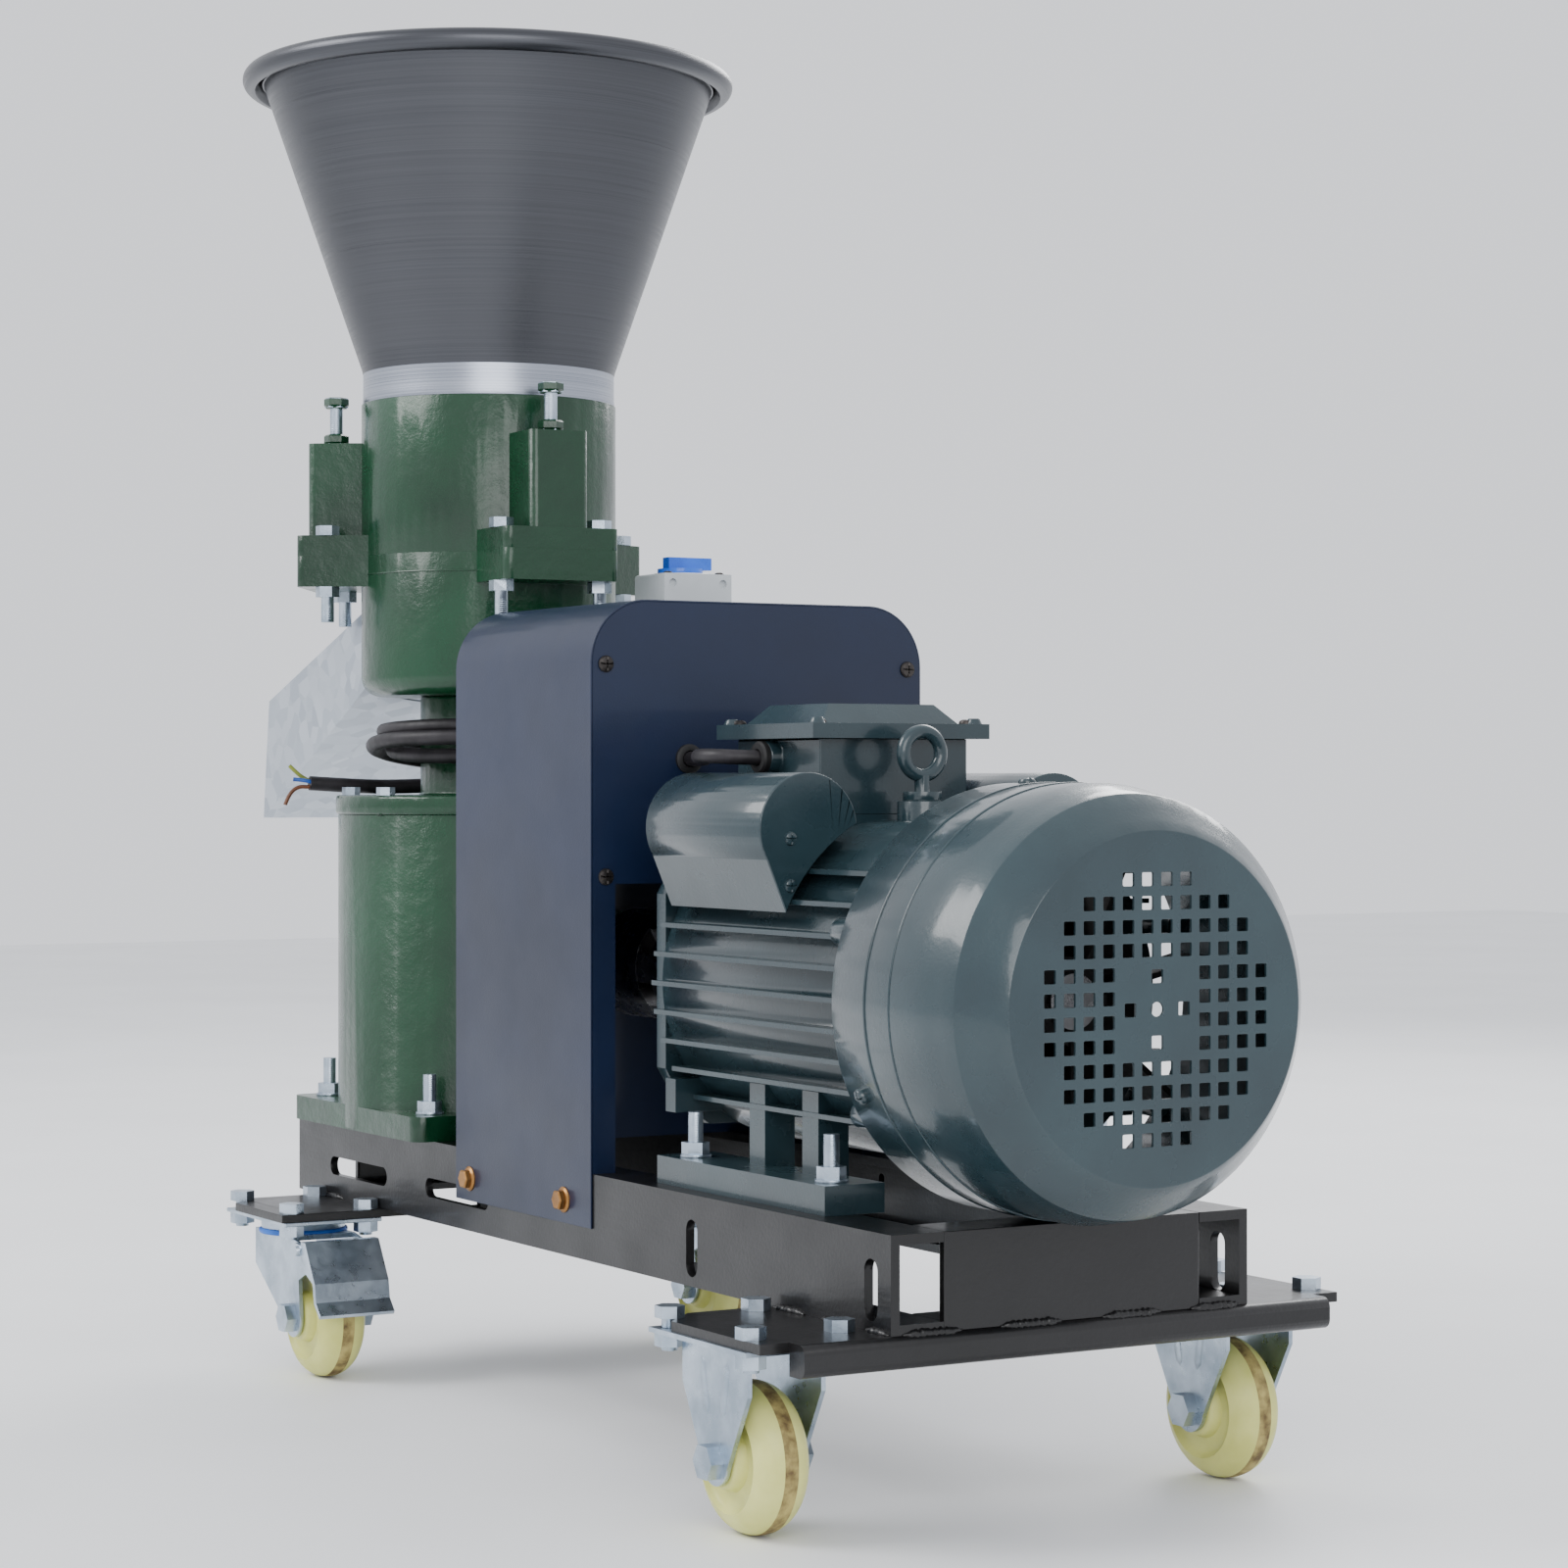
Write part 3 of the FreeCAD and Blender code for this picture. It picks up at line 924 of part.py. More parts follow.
def terminal_box():
    """The cast terminal box with its screwed lid and the lead's gland on the near side."""
    x = ("box_x - box_half_x", "box_x + box_half_x")
    outside = block(x, ("-box_half", "box_half"), (BOX_FLOOR, BOX_TOP))
    hollow = block((f"{x[0]} + box_wall", f"{x[1]} - box_wall"), ("-box_half + box_wall", "box_half - box_wall"),
                   (f"{BOX_FLOOR} + box_wall", f"{BOX_TOP} + 1"))
    spot = ("lead_gland_x", f"{AXIS} + lead_gland_rise")
    gland = rod("y", "9", "-box_half - 7", "-box_half + 1", *spot)
    way = rod("y", "lead_radius + running_gap", "-box_half - 8", "-box_half + box_wall + 1", *spot)
    node("terminal_box", cut(fuse(outside, gland), hollow, way))
    top = f"{BOX_TOP} + lid_height"
    flat = block((f"{x[0]} - 7", f"{x[1]} + 8"), ("-lid_half", "lid_half"), (BOX_TOP, top))
    raised = doc.addObject("Part::Wedge", "raised_top")
    long, wide = "2 * box_half_x - 6", "2 * box_half - 6"
    for prop, text in {"Xmin": "0", "Ymin": "0", "Zmin": "0", "X2min": "10", "Z2min": "10", "Ymax": "lid_crown",
                       "Xmax": long, "Zmax": wide, "X2max": f"{long} - 10", "Z2max": f"{wide} - 10"}.items():
        bind(raised, prop, text)
    move(raised, f"{x[0]} + 3", "box_half - 3", f"{top} - 0.5", (1, 0, 0), 90)
    screws = [cone("z", "4.5", "3", top, f"{top} + 3", u, v)
              for u in (f"{x[0]} - 1", f"{x[1]} + 2") for v in ("-lid_half + 6", "lid_half - 6")]
    node("terminal_lid", fuse(flat, raised, *screws))


def capacitor_cover(name, side):
    """A pressed pod over one capacitor: a round barrel and a skirt down to the motor's side."""
    x, z = ("capacitor_low_x", "capacitor_low_x + capacitor_length"), f"({AXIS} + capacitor_rise)"
    barrel = rod("x", "capacitor_radius", *x, f"{side} * capacitor_y", z)
    skirt = [("capacitor_radius - 3", -12), ("13", -43), ("-16", -20), ("-capacitor_radius - 2", -2), ("-20", 20)]
    points = [(f"{side} * (capacitor_y + {reach})", f"{z} + {rise}") for reach, rise in skirt]
    housing = rod("x", "fin_reach + seat_gap", "motor_low_x - 5", f"{MOTOR_HIGH} + 20", "0", AXIS)
    box = block(("box_x - 3 * box_half_x", "box_x + 3 * box_half_x"), side_span(side, "0", "box_half + seat_gap"),
                (f"{AXIS} + 40", BOX_TOP))
    node(f"capacitor_cover_{name}", cut(fuse(barrel, padded("YZ_Plane", points, *x)), housing, box))


def eye_bolt():
    """The lifting eye screwed into the top of the motor."""
    loop = doc.addObject("Part::Torus", "loop")
    bind(loop, "Radius1", "eye_ring")
    bind(loop, "Radius2", "eye_wire")
    move(loop, "eye_x", "0", f"{AXIS} + eye_rise", (0, 1, 0), 90)
    seat = f"{AXIS} + eye_seat"
    neck = rod("z", "bolt_radius", f"{seat} - 12", f"{AXIS} + eye_rise - eye_ring", "eye_x")
    node("eye_bolt", fuse(loop, neck, rod("z", "10", seat, f"{seat} + 5", "eye_x")))


# ---- switch and cords -------------------------------------------------------------------------
def switch_box():
    """The switch's box with its gland, its lid toward the guard and the turning lever on top."""
    y = ("switch_low_y", "switch_low_y + switch_width")
    split = f"({SWITCH_HIGH} - switch_lid)"
    within = (f"{y[0]} + switch_wall", f"{y[1]} - switch_wall")
    inside = (f"{SWITCH_FLOOR} + switch_wall", f"{SWITCH_TOP} - switch_wall")
    knob = (f"{SWITCH_LOW} + 15", "knob_y")
    supply = (f"{SWITCH_LOW} + supply_inset", "supply_y")
    gland_low = f"{SWITCH_FLOOR} - gland_length"
    tools = [block((f"{SWITCH_LOW} + switch_wall", f"{split} + 1"), within, inside),
             rod("z", "knob_stem + running_gap", f"{SWITCH_TOP} - switch_wall - 1", f"{SWITCH_TOP} + 1", *knob),
             rod("z", "cord_radius + running_gap", f"{gland_low} - 1", f"{SWITCH_FLOOR} + switch_wall + 1", *supply)]
    solid = fuse(block((SWITCH_LOW, split), y, (SWITCH_FLOOR, SWITCH_TOP)),
                 rod("z", "gland_radius", gland_low, f"{SWITCH_FLOOR} + 1", *supply))
    node("switch_box", cut(solid, *tools))
    recess = block((f"{split} - 1", f"{SWITCH_HIGH} - switch_wall"), within, inside)
    lead_way = rod("x", "lead_radius + running_gap", split, f"{SWITCH_HIGH} + 1", "lead_y", f"{GUARD_TOP} - lead_drop")
    wells = [rod("x", "2.6", f"{SWITCH_HIGH} - 2", f"{SWITCH_HIGH} + 1", u, v)
             for u in (f"{y[0]} + 6", f"{y[1]} - 6") for v in (f"{SWITCH_FLOOR} + 6", f"{SWITCH_TOP} - 6")]
    node("switch_lid", cut(block((split, SWITCH_HIGH), y, (SWITCH_FLOOR, SWITCH_TOP)), recess, lead_way, *wells))
    dial = rod("z", "knob_radius", f"{SWITCH_TOP} + seat_gap", f"{SWITCH_TOP} + 4", *knob)
    stem = rod("z", "knob_stem", f"{SWITCH_TOP} - 12", f"{SWITCH_TOP} + 2", *knob)
    lever = block((f"{knob[0]} - 4", f"{knob[0]} + 4"), ("knob_y - 10", "knob_y + 20"),
                  (f"{SWITCH_TOP} + 3.5", f"{SWITCH_TOP} + 11"))
    node("switch_knob", fuse(dial, stem, lever))


def cord_tube(name, radius, points):
    """A cord's solid along straight runs joined by tangent arcs; the corner radii are printed."""
    spots = [FreeCAD.Vector(*p) for p in points]
    edges, here, radii, length = [], spots[0], [], 0.0
    for before, corner, after in zip(spots, spots[1:], spots[2:]):
        back, ahead = before - corner, after - corner
        turn = math.pi - back.getAngle(ahead)
        reach = 0.45 * min(back.Length, ahead.Length)
        bend = reach / math.tan(turn / 2)
        first = corner + back.normalize() * reach
        last = corner + ahead.normalize() * reach
        inward = ((first + last) * 0.5 - corner).normalize()
        middle = corner + inward * (bend / math.cos(turn / 2) - bend)
        edges += [Part.LineSegment(here, first).toShape(), Part.Arc(first, middle, last).toShape()]
        length += (first - here).Length + bend * turn
        radii.append(round(bend, 1))
        here = last
    edges.append(Part.LineSegment(here, spots[-1]).toShape())
    length += (spots[-1] - here).Length
    section = Part.Wire(Part.Circle(spots[0], spots[1] - spots[0], size(radius)).toShape())
    piece = doc.addObject("Part::Feature", "cord")
    piece.Shape = Part.Wire(edges).makePipeShell([section], True, False)
    ratio = piece.Shape.Volume / (math.pi * size(radius) ** 2 * length)
    print(name, "length", round(length, 1), "radii", radii, "volume ratio", round(ratio, 4))
    return piece


def cords():
    """The supply cord from the switch box, its coil round the neck and its bare end, and the lead."""
    low = f"{COVER_TOP} + seat_gap"
    node("supply_cord_coil", tube("z", "coil_outer", "coil_inner", low, f"{low} + coil_height"), MILL)
    drop = [(-145.3, 50, 394), (-145.3, 50, 373), (-163, 58, 363), (-190, 61.5, 366), (-215, 55.5, 371)]
    tail = [(-327.7, -45, 362.4), (-331.2, -66, 362.2), (-333, -88, 363.2), (-336, -109, 364.5)]
    lead = [(148, -43, 378), (148, -62, 378), (134, -78, 379), (110, -74, 379), (80, -46, 378),
            (30, -46, 378), (-8, -16, 392), (-44, 22, 414), (-82, 50, 430), (-123, 50, 430)]
    node("supply_cord_drop", group(cord_tube("supply_cord_drop", "cord_radius", drop)))
    node("supply_cord_tail", group(cord_tube("supply_cord_tail", "cord_radius", tail)))
    node("motor_lead", group(cord_tube("motor_lead", "lead_radius", lead)))
    cores = {"earth": [(-337.9, -109.2, 366.4), (-340.4, -114.4, 369.5), (-347, -118, 375.5)],
             "neutral": [(-334.1, -109.8, 365.6), (-335.4, -114.6, 366.6), (-338, -119.4, 367)],
             "live": [(-336.2, -109.8, 362), (-337.6, -116.4, 362.4), (-338.2, -122.4, 357.4), (-338, -125, 350.6)]}
    wires = [cord_tube(name, "core_radius", points) for name, points in cores.items()]
    node("stripped_cores", group(*wires))


def build():
    for name, side in SIDES:
        rail(name, side)
        rigid_caster(name, side)
        swivel_caster(name, side)
        wheel(f"rigid_wheel_{name}", "rigid_x", f"{side} * rigid_y")
        wheel(f"swivel_wheel_{name}", "swivel_x + swivel_trail", f"{side} * swivel_y")
        capacitor_cover(name, side)
    parts = (cross_channels, caster_carriers, caster_bolts, gear_case, gear_case_cover, base_fasteners,
             bearings, main_shaft, ring_gear, input_shaft, discharge_chamber, roller_chamber,
             chamber_bolts, roller_set, flat_die, hopper, discharge_chute, guard, guard_screws,
             motor_frame, drive_end_shield, fan_cover, motor_inside, terminal_box, eye_bolt,
             switch_box, cords)
    for make in parts:
        make()


build()
doc.recompute()
failed = [f"{item.Label} ({item.Name})" for item in doc.Objects
          if "Invalid" in item.State or "Error" in item.State]
empty = [item.Label for item in NODES if item.Shape.isNull() or not item.Shape.isValid()]
if failed or empty:
    raise SystemExit(f"not built: {failed} {empty}")
os.makedirs("parts", exist_ok=True)
for item in NODES:
    item.Shape.exportStep(f"parts/{item.Label}.step")
print(len(NODES), "nodes written")
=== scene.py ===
# %% [markdown]
# # A flat-die feed pellet mill
# The machine turns ground feed into pellets: a tall cone feeds three rollers that press the feed through a
# drilled plate, an electric motor drives the plate through a right-angle gear case, and a sheet chute lets
# the pellets out. The designed parts come from the CAD model, which stays fixed. This lesson gives them
# their finishes and adds the small real things that a CAD model leaves plain.

import json
import math
import random

import bmesh
import bpy
from mathutils import Matrix, Vector

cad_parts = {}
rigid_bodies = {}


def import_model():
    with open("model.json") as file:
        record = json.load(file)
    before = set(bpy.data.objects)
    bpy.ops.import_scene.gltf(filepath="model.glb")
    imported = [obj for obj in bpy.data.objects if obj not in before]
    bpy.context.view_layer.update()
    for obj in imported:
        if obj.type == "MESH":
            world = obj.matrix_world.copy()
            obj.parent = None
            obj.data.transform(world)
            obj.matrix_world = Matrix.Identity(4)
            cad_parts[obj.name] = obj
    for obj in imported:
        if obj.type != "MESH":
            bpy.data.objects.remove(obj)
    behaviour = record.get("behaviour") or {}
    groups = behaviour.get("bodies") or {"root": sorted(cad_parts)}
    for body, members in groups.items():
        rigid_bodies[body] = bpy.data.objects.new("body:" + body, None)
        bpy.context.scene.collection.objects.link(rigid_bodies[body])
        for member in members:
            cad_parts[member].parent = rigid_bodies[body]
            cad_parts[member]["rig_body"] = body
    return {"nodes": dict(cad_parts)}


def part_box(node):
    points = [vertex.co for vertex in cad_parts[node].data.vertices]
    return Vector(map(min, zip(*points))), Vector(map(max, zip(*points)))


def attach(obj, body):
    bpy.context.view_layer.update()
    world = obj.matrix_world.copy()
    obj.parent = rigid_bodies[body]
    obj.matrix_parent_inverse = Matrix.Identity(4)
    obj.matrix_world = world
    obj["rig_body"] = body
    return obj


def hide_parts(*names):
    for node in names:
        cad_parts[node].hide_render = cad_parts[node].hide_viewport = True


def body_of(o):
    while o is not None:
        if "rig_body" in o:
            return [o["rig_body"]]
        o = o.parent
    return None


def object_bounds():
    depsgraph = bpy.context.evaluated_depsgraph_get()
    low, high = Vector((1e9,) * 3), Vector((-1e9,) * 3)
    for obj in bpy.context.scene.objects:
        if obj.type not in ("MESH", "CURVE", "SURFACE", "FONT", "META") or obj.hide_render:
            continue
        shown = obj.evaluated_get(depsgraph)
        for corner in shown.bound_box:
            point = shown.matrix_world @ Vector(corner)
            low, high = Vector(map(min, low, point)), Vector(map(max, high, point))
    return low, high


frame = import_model()
cad_box = [list(corner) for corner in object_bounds()]
chance = random.Random(7)

# %% [markdown]
# ## Where things are
# The part was drawn in millimetres about the middle of its base frame, and its origin was then moved to the
# bottom centre of the whole machine. One helper turns a drawn place into a place in metres, and another
# gives the middle of a CAD node, so that no place below has to be guessed twice.

# %% Places
ROW_SHIFT = Vector((26, 3.5, 0))


def place(x, y, z):
    """A drawn place in millimetres, as a point of the frame in metres."""
    return (Vector((x, y, z)) + ROW_SHIFT) / 1000


def middle(node):
    low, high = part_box(node)
    return (low + high) / 2


MILL = middle("gear_case_cover").xy
MOTOR = middle("fan_cover")
CASE_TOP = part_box("gear_case")[1].z
COVER_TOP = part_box("gear_case_cover")[0].z + 0.012
POT_LOW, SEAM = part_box("discharge_chamber")[0].z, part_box("discharge_chamber")[1].z
RING_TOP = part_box("roller_chamber")[1].z
print("mill axis", [round(v, 4) for v in MILL], "seam at", round(SEAM, 4))

# %% [markdown]
# ## The camera
# The machine is seen from its motor end and its near long side, from a little below the middle of its
# height, with a long lens. The camera looks level, so that upright edges stay upright.

# %% Camera
camera_data = bpy.data.cameras.new("camera")
camera_data.lens = 81.7
camera_data.sensor_width = 36
camera = bpy.data.objects.new("camera", camera_data)
camera.location = place(1788, -1004, 364)
camera.rotation_euler = Vector((-0.862, 0.5066, 0)).to_track_quat("-Z", "Y").to_euler()
bpy.context.scene.collection.objects.link(camera)
bpy.context.scene.camera = camera
print("camera at", [round(v, 3) for v in camera.location])

# %% [markdown]
# ## Cords
# The supply cord leaves the underside of the switch box, drops onto the gear case's cover and is thrown
# round the bearing neck in four loose loops. Its bare end sticks out past the cover, with three stripped
# cores. A cord keeps its length and bends smoothly, so it is one curve whose control points are the route
# of the part's own tube, with the loops' points worked out in between. No two loops have the same size or
# height, because nothing ties them.


# %% Smooth curves
def smooth_curve(name, points, radius, resolution=10):
    """A round tube along one open spline of order 3 that is drawn toward each of its points."""
    data = bpy.data.curves.new(name, "CURVE")
    data.dimensions = "3D"
    data.bevel_depth = 1
    data.bevel_resolution = 6
    data.resolution_u = resolution
    data.use_fill_caps = True
    spline = data.splines.new("NURBS")
    spline.points.add(len(points) - 1)
    for control, point in zip(spline.points, points):
        control.co = (*point, 1)
        control.radius = radius
    spline.order_u = 3
    spline.use_endpoint_u = True
    made = bpy.data.objects.new(name, data)
    bpy.context.scene.collection.objects.link(made)
    return made


def curve_length(made):
    """The length of a curve's own line."""
    bare = made.copy()
    bare.data = made.data.copy()
    bare.data.bevel_depth = 0
    bpy.context.scene.collection.objects.link(bare)
    bpy.context.view_layer.update()
    line = bpy.data.meshes.new_from_object(bare.evaluated_get(bpy.context.evaluated_depsgraph_get()))
    spots = [vertex.co for vertex in line.vertices]
    bpy.data.objects.remove(bare)
    return sum((b - a).length for a, b in zip(spots, spots[1:]))


# %% The supply cord
CORD = 0.0094
drop = [place(*p) for p in ((-145.3, 50, 391), (-145.3, 50, 373), (-163, 58, 363), (-190, 61.5, 366))]
tail = [place(*p) for p in ((-325.4, -28, 363), (-329, -48, 362.4), (-331.2, -66, 362.2), (-333, -88, 363.2),
                            (-336, -109, 364.5))]
STEPS = 16
LOOPS = ((79, 370, 4), (73, 403, -6), (58, 395, 4), (66, 377, -3), (79, 366, 0))


def loop_point(turn):
    """A point of the loops, after so many turns: radius, height and a sideways drift change slowly."""
    low = int(min(turn, len(LOOPS) - 1.001))
    share = turn - low
    radius, height, drift = (a + (b - a) * share for a, b in zip(LOOPS[low], LOOPS[low + 1]))
    angle = math.radians(70) + 2 * math.pi * turn
    wobble = 2.2 * math.sin(2.4 * angle + 0.7)
    spot = Vector(((radius + wobble) * math.cos(angle) + drift, (radius + wobble) * math.sin(angle) - drift / 2, 0))
    spot.z = height + 2.5 * math.sin(1.7 * angle)
    return Vector((MILL.x, MILL.y, 0)) + spot / 1000


TURNS = 3 + 103 / 360
loops = [loop_point(i / STEPS) for i in range(1, int(TURNS * STEPS) + 1)]
supply_cord = smooth_curve("supply_cord", drop + loops + tail, CORD / 2)
print("supply cord", round(curve_length(supply_cord), 3), "m in", len(drop + loops + tail), "points")

# %% The motor lead
LEAD = 0.008
lead_route = ((148, -43, 378), (148, -62, 378), (134, -78, 379), (110, -74, 379), (80, -46, 378), (30, -46, 378),
              (-8, -16, 392), (-44, 22, 414), (-82, 50, 430), (-123, 50, 430))
motor_lead = smooth_curve("motor_lead_sheath", [place(*p) for p in lead_route], LEAD / 2)
print("motor lead", round(curve_length(motor_lead), 3), "m")

# %% The three bare cores
CORE = 0.0026
core_routes = {
    "earth": ((-337.2, -108.2, 365.4), (-337.9, -109.2, 366.4), (-340.4, -114.4, 369.5), (-347, -118, 375.5)),
    "neutral": ((-334.6, -107.8, 365.2), (-334.1, -109.8, 365.6), (-335.4, -114.6, 366.6), (-338, -119.4, 367)),
    "live": ((-336, -108, 362.4), (-336.2, -109.8, 362), (-337.6, -116.4, 362.4), (-338.2, -122.4, 357.4),
             (-338, -125, 350.6)),
}
cores = {name: smooth_curve(f"core_{name}", [place(*p) for p in route], CORE / 2)
         for name, route in core_routes.items()}
print("cores:", sorted(cores))

# %% What the cords stand for
for piece in (supply_cord, motor_lead, *cores.values()):
    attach(piece, "root")
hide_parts("supply_cord_drop", "supply_cord_coil", "supply_cord_tail")
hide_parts("motor_lead")
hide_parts("stripped_cores")

# %% [markdown]
# ## Finishes
# Each finish is a node network on one Principled shader. Most of them share three things: a colour that
# wanders a little between two tones, a roughness that wanders with it, and a fine bump at the grain's real
# size. The helper below makes those three, and each finish then adds what is its own. Numbers that are the
# same all over are set on the shader itself.


# %% A finish and its grain
def tone(red, green, blue):
    """A colour given in everyday 0 to 255 steps, as linear light."""
    def linear(step):
        share = step / 255
        return share / 12.92 if share <= 0.04045 else ((share + 0.055) / 1.055) ** 2.4
    return (linear(red), linear(green), linear(blue), 1)


class Finish:
    """One material with its nodes, and short ways to add and join them."""

    def __init__(self, name, metallic=0.0, coat=0.0, coat_roughness=0.1):
        self.material = bpy.data.materials.new(name)
        self.material.use_nodes = True
        self.nodes = self.material.node_tree.nodes
        self.shader = self.nodes["Principled BSDF"]
        self.shader.inputs["Metallic"].default_value = metallic
        self.shader.inputs["Coat Weight"].default_value = coat
        self.shader.inputs["Coat Roughness"].default_value = coat_roughness
        self.where = self.add("ShaderNodeTexCoord").outputs["Object"]

    def add(self, kind, **values):
        made = self.nodes.new(kind)
        for key, value in values.items():
            if hasattr(made, key):
                setattr(made, key, value)
            else:
                made.inputs[key.replace("_", " ").title()].default_value = value
        return made

    def join(self, out, into):
        self.material.node_tree.links.new(out, into)
        return into.node

    def stretched(self, scale):
        """The surface's own coordinates, stretched along some axes."""
        mapping = self.add("ShaderNodeMapping")
        mapping.inputs["Scale"].default_value = scale
        self.join(self.where, mapping.inputs["Vector"])
        return mapping.outputs["Vector"]

    def noise(self, scale, detail=4, rough=0.55, stretch=None):
        made = self.add("ShaderNodeTexNoise", scale=scale, detail=detail, roughness=rough)
        self.join(self.stretched(stretch) if stretch else self.where, made.inputs["Vector"])
        return made.outputs["Fac"]

    def ramp(self, value, stops):
        made = self.add("ShaderNodeValToRGB")
        band = made.color_ramp
        while len(band.elements) < len(stops):
            band.elements.new(0.5)
        for element, (position, colour) in zip(band.elements, stops):
            element.position = position
            element.color = colour
        self.join(value, made.inputs["Fac"])
        return made.outputs["Color"]

    def mix(self, share, first, second):
        made = self.add("ShaderNodeMix", data_type="RGBA")
        self.join(share, made.inputs["Factor"])
        for socket, source in ((made.inputs[6], first), (made.inputs[7], second)):
            if hasattr(source, "is_linked"):
                self.join(source, socket)
            else:
                socket.default_value = source
        return made.outputs[2]

    def spread(self, value, low, high, from_low=0.3, from_high=0.7):
        made = self.add("ShaderNodeMapRange")
        for key, number in (("From Min", from_low), ("From Max", from_high), ("To Min", low), ("To Max", high)):
            made.inputs[key].default_value = number
        self.join(value, made.inputs["Value"])
        return made.outputs["Result"]

    def colour(self, out):
        self.join(out, self.shader.inputs["Base Color"])

    def roughness(self, out):
        self.join(out, self.shader.inputs["Roughness"])

    def bump(self, height, strength, distance):
        made = self.add("ShaderNodeBump")
        made.inputs["Strength"].default_value = strength
        made.inputs["Distance"].default_value = distance
        self.join(height, made.inputs["Height"])
        if self.shader.inputs["Normal"].is_linked:
            earlier = self.shader.inputs["Normal"].links[0].from_socket
            self.join(earlier, made.inputs["Normal"])
        self.join(made.outputs["Normal"], self.shader.inputs["Normal"])

    def paint_top_highlight(self, out, highlight_tone, amount):
        """Paints a lighter tone on faces that look up, broken up by noise: a painted highlight from the light above.
        """
        facing = self.add("ShaderNodeSeparateXYZ")
        self.join(self.add("ShaderNodeNewGeometry").outputs["Normal"], facing.inputs["Vector"])
        up = self.spread(facing.outputs["Z"], 0, amount, 0.55, 1.0)
        broken = self.add("ShaderNodeMath", operation="MULTIPLY")
        self.join(up, broken.inputs[0])
        self.join(self.spread(self.noise(38, 6), 0.2, 1.0), broken.inputs[1])
        return self.mix(broken.outputs["Value"], out, highlight_tone)


def speckled(name, low, high, rough, grain, depth, metallic=0.0, coat=0.0, patches=9):
    """The common start of a finish: two wandering tones, wandering roughness and a fine grain."""
    made = Finish(name, metallic, coat)
    made.shader.inputs["Specular IOR Level"].default_value = 0.35
    base = made.ramp(made.noise(patches, 6), [(0.35, tone(*low)), (0.65, tone(*high))])
    made.colour(base)
    made.roughness(made.spread(made.noise(patches * 3, 5), rough - 0.06, rough + 0.08))
    made.bump(made.noise(grain, 3), 0.35, depth)
    made.base = base
    return made


# %% [markdown]
# ### Paint
# The castings were sand cast and brushed with green enamel: a soft unevenness some millimetres across under
# a fine orange peel, and a glossy coat. The sheet guard has an even powder coat. The motor has a thicker
# grey-green paint on a rougher casting, and the base a satin black over rolled steel.

# %% Painted finishes
enamel = speckled("green_enamel", (2, 42, 22), (6, 60, 34), 0.3, 620, 0.0004, coat=0.3)
enamel.bump(enamel.noise(90, 5), 0.55, 0.0014)
# A lighter green on faces that look up: painted highlight from above.
enamel.colour(enamel.paint_top_highlight(enamel.base, tone(60, 96, 72), 0.22))
guard_coat = speckled("guard_powder_coat", (7, 20, 44), (13, 29, 58), 0.4, 900, 0.0002, coat=0.2, patches=5)
motor_coat = speckled("motor_paint", (26, 43, 49), (38, 57, 63), 0.27, 480, 0.0003, coat=0.5)
# A lighter grey-green on faces that look up: painted highlight from above.
motor_coat.colour(motor_coat.paint_top_highlight(motor_coat.base, tone(84, 104, 106), 0.18))
base_coat = speckled("base_satin_black", (9, 9, 10), (20, 19, 20), 0.36, 420, 0.0004, coat=0.2)
base_coat.bump(base_coat.noise(40, 3, stretch=(1, 6, 6)), 0.2, 0.0008)
print("painted finishes made")

# %% [markdown]
# ### Bare and plated metal
# Spinning leaves the hopper with fine level rings, so its noise is stretched flat: it changes fast up the
# cone and slowly round it. Galvanised sheet shows grains of zinc, which a cell pattern gives. Plated bolts
# and casters only need a slightly cloudy shine, and turned shafts a fine grain along their turning marks.

# %% Metal finishes
spun = Finish("spun_dark_steel", metallic=0.92)
rings = spun.noise(1.0, 8, 0.75, stretch=(2, 2, 900))
broad = spun.noise(1.0, 3, 0.5, stretch=(3, 3, 60))
spun.colour(spun.mix(broad, spun.ramp(rings, [(0.3, tone(58, 59, 63)), (0.7, tone(88, 90, 95))]), tone(80, 81, 85)))
spun.roughness(spun.spread(rings, 0.26, 0.42))
spun.bump(rings, 0.25, 0.0004)
# The hopper band is the same spun steel in lighter tones: a painted reflection of the bright surroundings.
painted_reflection_band = Finish("spun_bright_band", metallic=0.95)
band_rings = painted_reflection_band.noise(1.0, 6, 0.7, stretch=(2, 2, 1500))
painted_reflection_band.colour(painted_reflection_band.ramp(band_rings, [(0.3, tone(128, 134, 146)), (0.7, tone(176, 181, 192))]))
painted_reflection_band.roughness(painted_reflection_band.spread(band_rings, 0.24, 0.36))
painted_reflection_band.bump(band_rings, 0.2, 0.0003)
zinc_sheet = Finish("galvanised_sheet", metallic=0.7)
grains = zinc_sheet.add("ShaderNodeTexVoronoi")
grains.inputs["Scale"].default_value = 90.0
zinc_sheet.join(zinc_sheet.where, grains.inputs["Vector"])
zinc_sheet.colour(zinc_sheet.ramp(grains.outputs["Color"], [(0.1, tone(164, 172, 182)), (0.9, tone(190, 197, 205))]))
zinc_sheet.roughness(zinc_sheet.spread(zinc_sheet.noise(30, 5), 0.3, 0.48))
zinc_sheet.bump(zinc_sheet.noise(300, 3), 0.15, 0.0003)
plated = speckled("bright_zinc", (150, 164, 178), (192, 204, 216), 0.3, 700, 0.0002, metallic=0.95, patches=40)
yellow_plated = speckled("yellow_zinc", (132, 92, 48), (176, 130, 78), 0.34, 700, 0.0002, metallic=0.9, patches=60)
turned_steel = speckled("turned_steel", (128, 128, 130), (176, 176, 178), 0.28, 500, 0.0002, metallic=1.0, patches=30)
